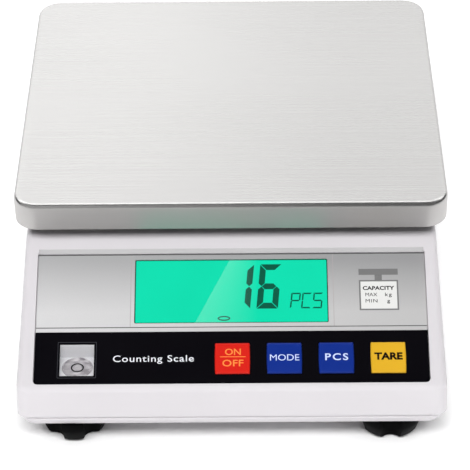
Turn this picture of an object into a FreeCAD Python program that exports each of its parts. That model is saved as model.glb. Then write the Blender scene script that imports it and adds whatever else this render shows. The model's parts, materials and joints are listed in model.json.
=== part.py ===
import FreeCAD, Part
import math
import os

# Counting scale with a stainless pan, a sloped console and four levelling feet.
# Millimetres. X is the width, Y runs from the console at the front to the back, Z is up.
# The origin is on the table, under the middle of the scale.

V = FreeCAD.Vector

# ---- Driving dimensions -------------------------------------------------------------------
PAN_WIDTH = 235.0
PAN_DEPTH = 208.6
PAN_TOP = 104.5            # weighing surface above the table
PAN_RIM = 16.0             # height of the turned-down edge
PAN_SHEET = 1.0
PAN_CORNER = 13.0          # plan radius
PAN_BEND = 2.8             # outside radius where the top turns down

BODY_DEPTH = 284.0         # console front to pan back
UNDERSIDE = 15.1           # bottom of the plastic case above the table
DECK_TOP = 80.0
BASE_HALF_WIDTH = 115.0
TOP_HALF_WIDTH = 112.0
BACK_SETBACK = 5.0         # the case ends this far in front of the pan's back edge
DRAFT_FRONT = 1.2          # how far the front wall leans in over the case's height
DRAFT_BACK = 2.4
CASE_CORNER = 6.0          # plan radius of the housing's upright corners
CASE_EDGE = 3.5            # rounding between the console or deck and the walls
WALL = 2.5

SLOPE = 25.8               # console angle from the horizontal, degrees
OVERLAY_TOP = V(0, -68.8, 73.1)
OVERLAY_WIDTH = 209.6
OVERLAY_LENGTH = 76.5
OVERLAY_THICK = 0.8
OVERLAY_CORNER = 2.3
POCKET_DEPTH = 1.6         # the overlay's face lies this far below the console's surface
POCKET_LEAD = 2.2          # width of the sloping wall at the pocket's top edge
POCKET_GAP = 0.25
POCKET_FLOOR = 2.2         # plastic left under the overlay

FLOOR = 18.1               # bottom shell's inside floor
SEAM_BOTTOM = 19.6         # top of the bottom shell's outer lip
SEAM_TOP = 20.2            # lower edge of the upper housing
SEAM_RECESS = 0.6
HEM_BEVEL = 0.4
LIP_UPRIGHT = 1.3          # height of the lip's upright band, above its part that leans inwards
LIP_LEAN = 1.4
LIP_CORNER = 12.0          # plan radius of the lip, rounder than the housing above it
TONGUE_CORNER = 9.0
TONGUE_TOP = 24.0
TONGUE_GAP = 0.15
TONGUE_THICK = 1.85
LAP = 0.5                  # how far joined pieces run into each other

LCD_WIDTH = 104.4
LCD_HEIGHT = 37.8
LCD_MIDDLE = 22.3          # down the slope from the overlay's top edge

KEY_WIDTH = 18.8
KEY_LENGTH = 17.6
KEY_MIDDLE = 62.0
KEY_PITCH = 27.6
KEY_RISE = 1.0             # keycap face above the overlay
KEY_GAP = 0.3
KEY_CORNER = 0.8
KEY_BEVEL = 0.5

LEVEL_X = -82.2
LEVEL_MIDDLE = 62.2
LEVEL_WINDOW = 18.2
LEVEL_CORNER = 0.4
LEVEL_SKIN = 1.2
VIAL_RADIUS = 8.25
VIAL_TOP = 41.0
VIAL_HEIGHT = 8.0

BOARD_THICK = 1.6
DISPLAY_BOARD_FACE = -10.0  # height of the display board's upper face, from the overlay's face
DISPLAY_BOARD = (-96.0, -74.0, 96.0, -1.0)
LCD_FOOT = -3.6            # underside of the LCD cell, from the overlay's face
LIGHT_GUIDE_FOOT = -7.0

CELL_LENGTH = 130.0        # single-point load cell, lying across the scale
CELL_WIDTH = 30.0
CELL_HEIGHT = 22.0
CELL_BOTTOM = 34.0
CELL_TRAVEL = 0.5          # downward play left before the overload stop
BOLT_RADIUS = 2.9
BOLT_HOLE = 3.0
BOLT_CLEARANCE = 3.2
BOLT_HEAD = 5.0            # both the head's radius and its height
BLOCK_SPAN = (35.0, 65.0)  # the spacer blocks' reach along the load cell
BLOCK_HALF = 14.0
CELL_BORE = 8.0
CELL_BORE_X = 13.0

PLATE_THICK = 2.0          # steel chassis plate on the bottom shell's floor
SUPPORT_TOP = 95.0         # top of the sheet-metal pan support
SUPPORT_THICK = 2.0
SUPPORT_HALF = (98.0, 86.0)
SUPPORT_FLANGE = 5.0
SUPPORT_CORNER = 10.0
DIMPLE_RADIUS = 11.0       # round recesses pressed into the support's top
DIMPLE_DEPTH = 0.9
DIMPLE_XS = (-60.0, -30.0, 0.0, 30.0, 60.0)
DIMPLE_OFFSET = 48.0
BUMPER_X = 80.0
BUMPER_OFFSET = 68.0
BUMPER_RADIUS = 9.0
COLLAR = (28.0, 72.0, 22.0)     # raised rim round the deck's opening: its ends in x and half its depth
COLLAR_HEIGHT = 3.0
COLLAR_WALL = 2.0

FOOT_X = 85.3
FOOT_FRONT = -123.0
FOOT_BACK = 114.0
KNOB_RADIUS = 19.0
KNOB_TIP_RADIUS = 16.6
KNOB_BOTTOM = 1.2
KNOB_SHOULDER = 9.2        # the knob widens up to here
KNOB_TOP = 14.6
KNOB_LOBES = 5
SCALLOP_RADIUS = 5.5
SCALLOP_DEPTH = 6.0
SOLE_RADIUS = 8.9
SPIGOT_RADIUS = 5.02
STUD_RADIUS = 3.9          # M8 adjusting stud
STUD_TOP = 29.5

BATTERY = (101.0, 70.0, 47.0)   # sealed 6 V block, lying on its side
BATTERY_FRONT = 58.0
BATTERY_BOTTOM = 20.8
BATTERY_TAB = 57.4         # height of the terminals' middle
COVER_TOP = 16.9           # upper face of the battery cover's plate
COVER = (-58.0, 47.0, 58.0, 132.0)
COVER_GAP = 0.3
TRAY_HALF = 52.6
SCREW_HOLE = 1.8
SCREW_HEAD = 3.0
SCREW_RECESS = 1.4
COVER_RECESS = 1.0

# ---- Values that follow from them ----------------------------------------------------------
PAN_BACK = BODY_DEPTH / 2
PAN_FRONT = PAN_BACK - PAN_DEPTH
PAN_MIDDLE = (PAN_FRONT + PAN_BACK) / 2
PAN_BOTTOM = PAN_TOP - PAN_RIM
PAN_INSIDE = PAN_TOP - PAN_SHEET
CASE_FRONT = -BODY_DEPTH / 2
CASE_BACK = PAN_BACK - BACK_SETBACK
PLATE_TOP = FLOOR + PLATE_THICK
CELL_TOP = CELL_BOTTOM + CELL_HEIGHT
SUPPORT_BOTTOM = SUPPORT_TOP - SUPPORT_THICK
CELL_BOLTS = (43.0, 58.0)
KEYS = ("on_off", "mode", "pcs", "tare")
KEY_XS = [0.45 + KEY_PITCH * i for i in range(len(KEYS))]
FEET = {
    "front_left": (-FOOT_X, FOOT_FRONT, 0.0),
    "front_right": (FOOT_X, FOOT_FRONT, 0.5),
    "back_left": (-FOOT_X, FOOT_BACK, 0.5),
    "back_right": (FOOT_X, FOOT_BACK, 0.0),
}
CASE_BOSSES = [(side * 103.0, y) for side in (-1, 1) for y in (-92.0, 10.0, 120.0)]
LEVEL_Y = OVERLAY_TOP.y - LEVEL_MIDDLE * math.cos(math.radians(SLOPE))
JACK_X = 72.0
JACK_Z = 38.0
COVER_SCREW = (0.0, 52.5)
MAIN_BOARD = (-75.0, -104.0, 75.0, -26.0)
MAIN_BOARD_BOTTOM = 25.1
MAIN_BOARD_POSTS = [(x, y) for x in (-70.0, 70.0) for y in (-99.0, -31.0)]
DISPLAY_POSTS = [(-88.0, -5.0), (88.0, -5.0), (90.0, -46.0), (-62.0, -46.0)]
LEVEL_NOTCH = (-97.0, -75.0, -69.0, -49.0)     # cut out of the display board for the level's cup
MAIN_BOARD_PARTS = {       # x0, y0, x1, y1 and height of each block on the main board
    "processor": (-22.0, -80.0, -2.0, -60.0, 2.0),
    "converter": (10.0, -84.0, 24.0, -78.0, 2.0),
    "relay": (40.0, -52.0, 62.0, -36.0, 10.0),
    "cell_socket": (-44.0, -40.0, -28.0, -34.0, 6.0),
    "battery_socket": (60.0, -70.0, 68.0, -56.0, 6.0),
    "dc_socket": (46.0, -70.0, 54.0, -56.0, 6.0),
    "ribbon_socket": (-52.0, -98.0, -32.0, -92.0, 6.0),
}
CAPACITORS = [(12.0, -44.0), (26.0, -44.0)]
CAPACITOR_RADIUS = 5.0
CAPACITOR_HEIGHT = 11.0
DISPLAY_BOARD_PARTS = {    # the same for the display board's underside, in console coordinates
    "driver": (-12.0, -30.0, 12.0, -14.0, 2.2),
    "resistors": (30.0, -24.0, 54.0, -18.0, 4.0),
    "ribbon_socket": (-50.0, -26.0, -34.0, -12.0, 3.0),
}
BUZZER = (-56.0, -62.0)
BUZZER_RADIUS = 6.0
BUZZER_HEIGHT = 7.0
JACK_RADIUS = 5.4
JACK_LENGTH = 15.0
JACK_FLANGE = 7.0
JACK_STANDS_OUT = 1.4


# ---- Small helpers -------------------------------------------------------------------------
def box(x0, y0, z0, x1, y1, z1):
    return Part.makeBox(x1 - x0, y1 - y0, z1 - z0, V(x0, y0, z0))


def rod(radius, x, y, z0, z1):
    """Upright cylinder."""
    return Part.makeCylinder(radius, z1 - z0, V(x, y, z0))


def outline(x0, y0, x1, y1, radii, z):
    """Closed rectangle with rounded corners at height z; radii go round from the low corner."""
    if not isinstance(radii, (list, tuple)):
        radii = [radii] * 4
    corners = [V(x0, y0, z), V(x1, y0, z), V(x1, y1, z), V(x0, y1, z)]
    inward = [V(1, 1, 0), V(-1, 1, 0), V(-1, -1, 0), V(1, -1, 0)]
    ends = []
    arcs = []
    for i, corner in enumerate(corners):
        radius = radii[i]
        middle = corner + inward[i] * radius
        along = (corners[i - 1] - corner).normalize() * radius
        onward = (corners[(i + 1) % 4] - corner).normalize() * radius
        ends.append((corner + along, corner + onward))
        crest = middle - inward[i] * (radius / math.sqrt(2))
        arcs.append(Part.Arc(corner + along, crest, corner + onward).toShape())
    edges = []
    for i in range(4):
        edges.append(arcs[i])
        edges.append(Part.makeLine(ends[i][1], ends[(i + 1) % 4][0]))
    return Part.Wire(edges)


def slab(x0, y0, x1, y1, radii, z0, z1):
    """Plate with rounded corners."""
    face = Part.Face(outline(x0, y0, x1, y1, radii, z0))
    return face.extrude(V(0, 0, z1 - z0))


def hexagon(x, y, z0, z1, flats):
    """Nut or bolt-head blank across the given flats."""
    reach = flats / math.sqrt(3)
    turns = [math.radians(60 * i) for i in range(7)]
    points = [V(x + reach * math.cos(turn), y + reach * math.sin(turn), z0) for turn in turns]
    return Part.Face(Part.makePolygon(points)).extrude(V(0, 0, z1 - z0))


def prism_yz(points, x0, x1):
    """Prism along X over a closed outline of (y, z) points."""
    corners = [V(x0, y, z) for y, z in points]
    return Part.Face(Part.makePolygon(corners + corners[:1])).extrude(V(x1 - x0, 0, 0))


def joined(shapes):
    """One solid from touching or overlapping ones."""
    return shapes[0].multiFuse(shapes[1:]).removeSplitter()


def on_console(shape):
    """Moves a shape from console coordinates (right, up the slope, out of the face) into place."""
    console = FreeCAD.Placement(OVERLAY_TOP, FreeCAD.Rotation(V(1, 0, 0), SLOPE))
    moved = shape.copy()
    moved.Placement = console.multiply(shape.Placement)
    return moved


def rounded_path(points):
    """Straight runs joined by tangent arcs, each arc as large as its two runs allow."""
    edges = []
    start = points[0]
    for before, corner, after in zip(points, points[1:], points[2:]):
        back = (before - corner).normalize()
        on = (after - corner).normalize()
        half_turn = (math.pi - back.getAngle(on)) / 2
        reach = 0.45 * min((before - corner).Length, (after - corner).Length)
        radius = reach / math.tan(half_turn)
        inward = (back + on).normalize()
        middle = corner + inward * (radius / math.cos(half_turn) - radius)
        edges.append(Part.LineSegment(start, corner + back * reach).toShape())
        edges.append(Part.Arc(corner + back * reach, middle, corner + on * reach).toShape())
        start = corner + on * reach
        print("  bend radius %.1f mm" % radius)
    edges.append(Part.LineSegment(start, points[-1]).toShape())
    return Part.Wire(edges)


def cable(points, radius):
    """Round cable along a route."""
    points = [V(*p) for p in points]
    path = rounded_path(points)
    circle = Part.Wire([Part.makeCircle(radius, points[0], points[1] - points[0])])
    return path.makePipeShell([circle], True, False)


def save(name, shape):
    """Writes one node and says whether its solids are sound."""
    solids = shape.Solids
    sound = all(s.isValid() and s.Volume > 0 for s in solids)
    volume = sum(s.Volume for s in solids)
    print("%-24s solids %d volume %.1f %s" % (name, len(solids), volume, "ok" if sound and solids else "BAD"))
    whole = solids[0] if len(solids) == 1 else Part.makeCompound(solids)
    whole.exportStep("parts/" + name + ".step")


# ---- Case ----------------------------------------------------------------------------------
def case_plan(inset, z, corner):
    """Plan outline of the case at height z, shrunk by inset."""
    rise = (z - UNDERSIDE) / (DECK_TOP - UNDERSIDE)
    half = BASE_HALF_WIDTH + (TOP_HALF_WIDTH - BASE_HALF_WIDTH) * rise - inset
    front = CASE_FRONT + DRAFT_FRONT * rise + inset
    back = CASE_BACK - DRAFT_BACK * rise - inset
    return outline(-half, front, half, back, corner - inset, z)


def case_block(inset, z0, z1, lower_inset=None, corner=CASE_CORNER):
    """Solid between two heights with the case's tapered plan; lower_inset makes a sloping hem."""
    lower = case_plan(inset if lower_inset is None else lower_inset, z0, corner)
    return Part.makeLoft([lower, case_plan(inset, z1, corner)], True, True)


def console_cut(lower):
    """Everything above the console's sloping surface lowered by this much, square to it."""
    surface = POCKET_DEPTH - lower
    return on_console(box(-200, -200, surface, 200, 200, surface + 200))


def lies_on_top(edge):
    """True for an edge of the console's surface or of the deck."""
    slope = math.radians(SLOPE)
    out = V(0, -math.sin(slope), math.cos(slope))
    start, stop = edge.FirstParameter, edge.LastParameter
    samples = [edge.valueAt(start + (stop - start) * share) for share in (0.0, 0.5, 1.0)]
    on_slope = all(abs((p - OVERLAY_TOP).dot(out) - POCKET_DEPTH) < 1e-3 for p in samples)
    on_deck = all(abs(p.z - DECK_TOP) < 1e-3 for p in samples)
    return on_slope or on_deck


def case_outside():
    form = case_block(0.0, SEAM_TOP + HEM_BEVEL, DECK_TOP).cut(console_cut(0.0))
    form = form.makeFillet(CASE_EDGE, [e for e in form.Edges if lies_on_top(e)])
    return form.fuse(case_block(0.0, SEAM_TOP, SEAM_TOP + HEM_BEVEL, HEM_BEVEL))


def pocket():
    """Recess for the overlay, with a sloping wall along its top edge."""
    half = OVERLAY_WIDTH / 2 + POCKET_GAP
    bottom = OVERLAY_LENGTH + POCKET_GAP
    corner = OVERLAY_CORNER + POCKET_GAP
    recess = slab(-half, -bottom, half, POCKET_GAP, [corner, corner, 1.0, 1.0], -OVERLAY_THICK, 8.0)
    steep = [(0.0, 0.0), (POCKET_GAP, 0.0), (POCKET_GAP + POCKET_LEAD, POCKET_DEPTH),
             (POCKET_GAP + POCKET_LEAD, 8.0), (0.0, 8.0)]
    lead = prism_yz(steep, -half + 0.6, half - 0.6)
    return on_console(recess.fuse(lead))


def key_place(i, width, length, radii, z0, z1):
    """A rounded plate centred on key number i."""
    x, y = KEY_XS[i], -KEY_MIDDLE
    return slab(x - width / 2, y - length / 2, x + width / 2, y + length / 2, radii, z0, z1)


def window_place(width, height, radii, z0, z1):
    """A rounded plate centred on the display."""
    y = -LCD_MIDDLE
    return slab(-width / 2, y - height / 2, width / 2, y + height / 2, radii, z0, z1)


def level_window(z0, z1):
    """The bubble level's window in the overlay."""
    half = LEVEL_WINDOW / 2
    y = -LEVEL_MIDDLE
    return slab(LEVEL_X - half, y - half, LEVEL_X + half, y + half, LEVEL_CORNER, z0, z1)


def level_block(skin, top):
    """Upright block under the level's window, wider than the window by skin all round."""
    half_x = LEVEL_WINDOW / 2 + skin
    half_y = LEVEL_WINDOW / 2 * math.cos(math.radians(SLOPE)) + skin
    bottom = VIAL_TOP - VIAL_HEIGHT
    return box(LEVEL_X - half_x, LEVEL_Y - half_y, bottom, LEVEL_X + half_x, LEVEL_Y + half_y, top)


def upper_housing():
    inner = case_block(WALL, SEAM_TOP - 1, DECK_TOP - WALL)
    inner = inner.cut(console_cut(POCKET_DEPTH + OVERLAY_THICK + POCKET_FLOOR))
    shell = case_outside().cut(inner)
    shell = shell.cut(pocket())
    openings = [window_place(LCD_WIDTH + 1.6, LCD_HEIGHT + 1.8, 1.0, -6, 2)]
    for i in range(len(KEYS)):
        openings.append(key_place(i, KEY_WIDTH + 2 * KEY_GAP, KEY_LENGTH + 2 * KEY_GAP, 1.6, -6, 2))
    for opening in openings:
        shell = shell.cut(on_console(opening))
    shell = shell.cut(level_block(LEVEL_SKIN + 0.15, 60))
    posts = [rod(4.0, x, y, PLATE_TOP, DECK_TOP - 1.0) for x, y in CASE_BOSSES]
    parts = [shell] + [post.cut(console_cut(POCKET_DEPTH + 1.0)) for post in posts]
    low, high, half = COLLAR
    front, back = PAN_MIDDLE - half, PAN_MIDDLE + half
    parts.append(slab(low, front, high, back, 4.0, DECK_TOP - 1.0, DECK_TOP + COLLAR_HEIGHT))
    holes = [rod(1.5, x, y, PLATE_TOP - 1, PLATE_TOP + 14) for x, y in CASE_BOSSES]
    for x, y in DISPLAY_POSTS:
        parts.append(on_console(rod(3.0, x, y, DISPLAY_BOARD_FACE, -OVERLAY_THICK - LAP)))
        holes.append(on_console(rod(1.2, x, y, DISPLAY_BOARD_FACE - 1, DISPLAY_BOARD_FACE + 6)))
    wall = COLLAR_WALL
    holes.append(slab(low + wall, front + wall, high - wall, back - wall, 3.0, DECK_TOP - 6, DECK_TOP + 6))
    holes.append(Part.makeCylinder(JACK_RADIUS + 0.2, 12, V(JACK_X, CASE_BACK - 8, JACK_Z), V(0, 1, 0)))
    shell = joined(parts)
    for hole in holes:
        shell = shell.cut(hole)
    return shell


def bottom_shell():
    """Tray with an outer lip that leans inwards below its upright band, and a tongue inside the housing."""
    lip = case_block(0.0, UNDERSIDE, SEAM_BOTTOM - LIP_UPRIGHT, LIP_LEAN, LIP_CORNER)
    lip = lip.fuse(case_block(0.0, SEAM_BOTTOM - LIP_UPRIGHT, SEAM_BOTTOM, corner=LIP_CORNER))
    step = case_block(SEAM_RECESS, SEAM_BOTTOM - LAP, SEAM_TOP, corner=LIP_CORNER)
    tongue = case_block(WALL + TONGUE_GAP, SEAM_TOP - LAP, TONGUE_TOP, corner=TONGUE_CORNER)
    inside = WALL + TONGUE_GAP + TONGUE_THICK
    hollow = case_block(inside, FLOOR, TONGUE_TOP + 1.0, corner=TONGUE_CORNER)
    x, y = COVER_SCREW
    boss = rod(3.6, x, y, FLOOR - LAP, TONGUE_TOP)
    shell = joined([joined([lip, step, tongue]).cut(hollow), boss])
    x0, y0, x1, y1 = COVER
    gap = COVER_GAP
    cuts = [slab(x0 - gap, y0 - gap, x1 + gap, y1 + gap, 3.0 + gap, UNDERSIDE - 1, COVER_TOP + 0.2)]
    reach = TRAY_HALF + 0.4
    cuts.append(box(-reach, BATTERY_FRONT - 1.0, UNDERSIDE - 1, reach, BATTERY_FRONT + 71.0, FLOOR + 1))
    cuts.append(rod(1.5, x, y, UNDERSIDE, TONGUE_TOP + 1))
    for x, y in CASE_BOSSES:
        cuts.append(rod(SCREW_HOLE, x, y, UNDERSIDE - 1, FLOOR + 1))
        cuts.append(rod(SCREW_HEAD + 0.3, x, y, UNDERSIDE - 1, UNDERSIDE + SCREW_RECESS))
    for x, y, _ in FEET.values():
        cuts.append(rod(5.0, x, y, UNDERSIDE - 1, FLOOR + 1))
    for cut in cuts:
        shell = shell.cut(cut)
    return shell


def battery_cover():
    """Cover plate with a shallow tray for the battery and two rows of finger grooves."""
    plate = slab(*COVER, 3.0, UNDERSIDE, COVER_TOP)
    front, back = BATTERY_FRONT - 0.6, BATTERY_FRONT + BATTERY[1] + 0.6
    half = BATTERY[0] / 2 - 0.5
    tray = box(-TRAY_HALF, front, COVER_TOP - LAP, TRAY_HALF, back, BATTERY_BOTTOM)
    tray = tray.cut(box(-half, front + 2.6, COVER_TOP, half, back - 2.6, BATTERY_BOTTOM + 1))
    cover = plate.fuse(tray)
    x, y = COVER_SCREW
    cuts = [rod(SCREW_HOLE, x, y, UNDERSIDE - 1, COVER_TOP + 1)]
    cuts.append(rod(SCREW_HEAD + 0.3, x, y, UNDERSIDE - 1, UNDERSIDE + COVER_RECESS))
    for side in (-40.0, 40.0):
        for front in (70.0, 74.0, 78.0, 82.0):
            cuts.append(slab(side - 8, front, side + 8, front + 1.5, 0.7, UNDERSIDE - 1, UNDERSIDE + 0.6))
    for cut in cuts:
        cover = cover.cut(cut)
    return cover


def base_plate():
    """Steel plate that ties the feet, the load cell and the boards together."""
    plate = slab(-109.0, -134.5, 109.0, 131.0, 8.0, FLOOR, PLATE_TOP)
    low, high = FLOOR - 1, PLATE_TOP + 1
    cuts = [box(-54.0, 56.0, low, 54.0, 140.0, high)]
    cuts += [rod(SCREW_HOLE, x, y, low, high) for x, y in CASE_BOSSES]
    cuts += [rod(STUD_RADIUS + 0.2, x, y, low, high) for x, y, _ in FEET.values()]
    cuts += [rod(BOLT_HOLE, -x, PAN_MIDDLE, low, high) for x in CELL_BOLTS]
    cuts.append(rod(4.2, COVER_SCREW[0], COVER_SCREW[1], low, high))
    cuts.append(rod(BOLT_HOLE, CELL_BOLTS[1], PAN_MIDDLE, low, high))
    for cut in cuts:
        plate = plate.cut(cut)
    return plate


# ---- Weighing mechanism --------------------------------------------------------------------
def tray_form(inset, z0, z1, bend):
    """Block with the pan's plan, shrunk by inset, and a rounded top edge."""
    half = PAN_WIDTH / 2 - inset
    block = slab(-half, PAN_FRONT + inset, half, PAN_BACK - inset, PAN_CORNER - inset, z0, z1)
    return block.makeFillet(bend, [e for e in block.Edges if e.BoundBox.ZMin > z1 - 1e-3])


def weighing_pan():
    outside = tray_form(0.0, PAN_BOTTOM, PAN_TOP, PAN_BEND)
    inside = tray_form(PAN_SHEET, PAN_BOTTOM - 5, PAN_INSIDE, PAN_BEND - PAN_SHEET)
    return outside.cut(inside)


def support_corners():
    front, back = PAN_MIDDLE - BUMPER_OFFSET, PAN_MIDDLE + BUMPER_OFFSET
    return {
        "front_left": (-BUMPER_X, front),
        "front_right": (BUMPER_X, front),
        "back_left": (-BUMPER_X, back),
        "back_right": (BUMPER_X, back),
    }


def pan_support():
    """Sheet with a turned-down flange all round and two rows of pressed dimples."""
    half_x, half_y = SUPPORT_HALF
    front, back = PAN_MIDDLE - half_y, PAN_MIDDLE + half_y
    wall = SUPPORT_THICK
    flange = SUPPORT_BOTTOM - SUPPORT_FLANGE
    outer = slab(-half_x, front, half_x, back, SUPPORT_CORNER, flange, SUPPORT_TOP)
    inner = slab(-half_x + wall, front + wall, half_x - wall, back - wall, SUPPORT_CORNER - wall,
                 flange - 1, SUPPORT_BOTTOM)
    sheet = outer.cut(inner)
    cuts = []
    for x in DIMPLE_XS:
        for y in (PAN_MIDDLE - DIMPLE_OFFSET, PAN_MIDDLE + DIMPLE_OFFSET):
            cuts.append(rod(DIMPLE_RADIUS, x, y, SUPPORT_TOP - DIMPLE_DEPTH, SUPPORT_TOP + 1))
    cuts += [rod(BOLT_HOLE, x, PAN_MIDDLE, SUPPORT_BOTTOM - 1, SUPPORT_TOP + 1) for x in CELL_BOLTS]
    cuts += [rod(3.0, x, y, SUPPORT_BOTTOM - 1, SUPPORT_TOP + 1) for x, y in support_corners().values()]
    for cut in cuts:
        sheet = sheet.cut(cut)
    return sheet


def pan_bumper(x, y):
    """Rubber button under the pan, with a stem and a retaining head below the support."""
    button = Part.makeCone(BUMPER_RADIUS, BUMPER_RADIUS - 1.5, PAN_INSIDE - SUPPORT_TOP, V(x, y, SUPPORT_TOP))
    stem = rod(3.0, x, y, SUPPORT_BOTTOM - LAP, SUPPORT_TOP + LAP)
    head = Part.makeCone(3.0, 4.4, 2.0, V(x, y, SUPPORT_BOTTOM - 2.0))
    return joined([button, stem, head])


def load_cell():
    """Single-point beam with the two joined bores that make its parallel flexures."""
    half = CELL_LENGTH / 2
    front, back = PAN_MIDDLE - CELL_WIDTH / 2, PAN_MIDDLE + CELL_WIDTH / 2
    beam = box(-half, front, CELL_BOTTOM, half, back, CELL_TOP)
    beam = beam.makeChamfer(0.6, [e for e in beam.Edges if e.Length > CELL_WIDTH + 1])
    middle = (CELL_BOTTOM + CELL_TOP) / 2
    for x in (-CELL_BORE_X, CELL_BORE_X):
        beam = beam.cut(Part.makeCylinder(CELL_BORE, CELL_WIDTH + 2, V(x, front - 1, middle), V(0, 1, 0)))
    beam = beam.cut(box(-CELL_BORE_X, front - 1, middle - 3.0, CELL_BORE_X, back + 1, middle + 3.0))
    for x in CELL_BOLTS:
        beam = beam.cut(rod(BOLT_HOLE, x, PAN_MIDDLE, CELL_TOP - 12, CELL_TOP + 1))
        beam = beam.cut(rod(BOLT_CLEARANCE, -x, PAN_MIDDLE, CELL_BOTTOM - 1, CELL_TOP + 1))
    return beam


def cell_block(side, z0, z1):
    """Spacer block between the load cell's end and its neighbour above or below."""
    low, high = sorted(side * reach for reach in BLOCK_SPAN)
    block = box(low, PAN_MIDDLE - BLOCK_HALF, z0, high, PAN_MIDDLE + BLOCK_HALF, z1)
    for x in CELL_BOLTS:
        block = block.cut(rod(BOLT_CLEARANCE, side * x, PAN_MIDDLE, z0 - 1, z1 + 1))
    return block


def cap_bolt(x, tip, seat):
    """Socket-head bolt on the scale's middle line: shank from tip to seat, head above the seat."""
    shank = rod(BOLT_RADIUS, x, PAN_MIDDLE, tip, seat + LAP)
    cap = rod(BOLT_HEAD, x, PAN_MIDDLE, seat, seat + BOLT_HEAD)
    socket = hexagon(x, PAN_MIDDLE, seat + BOLT_HEAD / 2, seat + BOLT_HEAD + 1, 5.0)
    return shank.fuse(cap).cut(socket)


def overload_stop_screw():
    x = CELL_BOLTS[1]
    thread = rod(BOLT_RADIUS, x, PAN_MIDDLE, FLOOR + 0.2, CELL_BOTTOM - CELL_TRAVEL - 0.1)
    return thread.cut(box(x - 4, PAN_MIDDLE - 0.5, CELL_BOTTOM - 2.0, x + 4, PAN_MIDDLE + 0.5, CELL_BOTTOM))


def overload_stop_nut():
    nut = hexagon(CELL_BOLTS[1], PAN_MIDDLE, PLATE_TOP, PLATE_TOP + 5.0, 10.0)
    return nut.cut(rod(BOLT_HOLE, CELL_BOLTS[1], PAN_MIDDLE, PLATE_TOP - 1, PLATE_TOP + 6))


# ---- Console -------------------------------------------------------------------------------
def console_overlay():
    sheet = slab(-OVERLAY_WIDTH / 2, -OVERLAY_LENGTH, OVERLAY_WIDTH / 2, 0.0,
                 [OVERLAY_CORNER, OVERLAY_CORNER, 0.8, 0.8], -OVERLAY_THICK, 0.0)
    sheet = sheet.cut(window_place(LCD_WIDTH, LCD_HEIGHT, 0.8, -3, 3))
    sheet = sheet.cut(level_window(-3, 3))
    for i in range(len(KEYS)):
        sheet = sheet.cut(key_place(i, KEY_WIDTH + KEY_GAP, KEY_LENGTH + KEY_GAP, KEY_CORNER, -3, 3))
    return on_console(sheet)


def keycap(i):
    """Square cap with bevelled edges, a retaining flange and a stem to the switch."""
    cap = key_place(i, KEY_WIDTH, KEY_LENGTH, KEY_CORNER, -2.2, KEY_RISE)
    cap = cap.makeChamfer(KEY_BEVEL, [e for e in cap.Edges if e.BoundBox.ZMin > KEY_RISE - 1e-3])
    neck = key_place(i, KEY_WIDTH - 0.4, KEY_LENGTH - 0.4, 1.1, -3.5, -2.0)
    flange = key_place(i, KEY_WIDTH + 2.0, KEY_LENGTH + 2.0, 1.5, -4.0, -3.2)
    stem = rod(2.0, KEY_XS[i], -KEY_MIDDLE, -5.5, -3.5)
    return on_console(joined([cap, neck, flange, stem]))


def key_plunger(i):
    return on_console(rod(1.7, KEY_XS[i], -KEY_MIDDLE, -8.4, -5.5))


def key_switch(i):
    x, y = KEY_XS[i], -KEY_MIDDLE
    shell = slab(x - 3, y - 3, x + 3, y + 3, 0.5, DISPLAY_BOARD_FACE, -6.5)
    return on_console(shell.cut(rod(1.75, x, y, -9.4, -6)))


def display_board():
    under = DISPLAY_BOARD_FACE - BOARD_THICK
    x0, y0, x1, y1 = LEVEL_NOTCH
    board = slab(*DISPLAY_BOARD, 2.0, under, DISPLAY_BOARD_FACE)
    board = board.cut(box(x0, y0, under - 1, x1, y1, DISPLAY_BOARD_FACE + 1))
    for x, y in DISPLAY_POSTS:
        board = board.cut(rod(1.5, x, y, under - 1, DISPLAY_BOARD_FACE + 1))
    parts = [board]
    for x0, y0, x1, y1, height in DISPLAY_BOARD_PARTS.values():
        parts.append(box(x0, y0, under - height, x1, y1, under + 0.1))
    return on_console(joined(parts))


def lcd_holder():
    ring = window_place(LCD_WIDTH + 4.0, LCD_HEIGHT + 4.0, 1.5, DISPLAY_BOARD_FACE, LCD_FOOT)
    hole = window_place(LCD_WIDTH + 1.2, LCD_HEIGHT + 1.2, 0.8, DISPLAY_BOARD_FACE - 1, LCD_FOOT + 1)
    return on_console(ring.cut(hole))


def display_layer(grow, radii, z0, z1):
    """One flat layer of the display stack."""
    return on_console(window_place(LCD_WIDTH + grow, LCD_HEIGHT + grow, radii, z0, z1))


def level_holder():
    """White cup under the level's window; its floor is horizontal and holds the vial."""
    block = level_block(LEVEL_SKIN, 60)
    block = block.cut(on_console(box(-200, -200, -OVERLAY_THICK, 200, 200, 60)))
    hollow = level_block(0.0, 80)
    hollow.translate(V(0, 0, VIAL_HEIGHT - 0.4))
    block = block.cut(hollow)
    return block.cut(rod(VIAL_RADIUS, LEVEL_X, LEVEL_Y, VIAL_TOP - VIAL_HEIGHT + 1.0, VIAL_TOP + 1))


def level_vial(cavity):
    """Clear round vial, or the liquid inside it."""
    bottom = VIAL_TOP - VIAL_HEIGHT + 1.0
    wall = 1.1
    liquid = rod(VIAL_RADIUS - wall, LEVEL_X, LEVEL_Y, bottom + wall, VIAL_TOP - wall)
    if cavity:
        return liquid
    body = rod(VIAL_RADIUS, LEVEL_X, LEVEL_Y, bottom, VIAL_TOP)
    top = [e for e in body.Edges if e.BoundBox.ZMin > VIAL_TOP - 1e-3]
    return body.makeFillet(0.5, top).cut(liquid)


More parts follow.
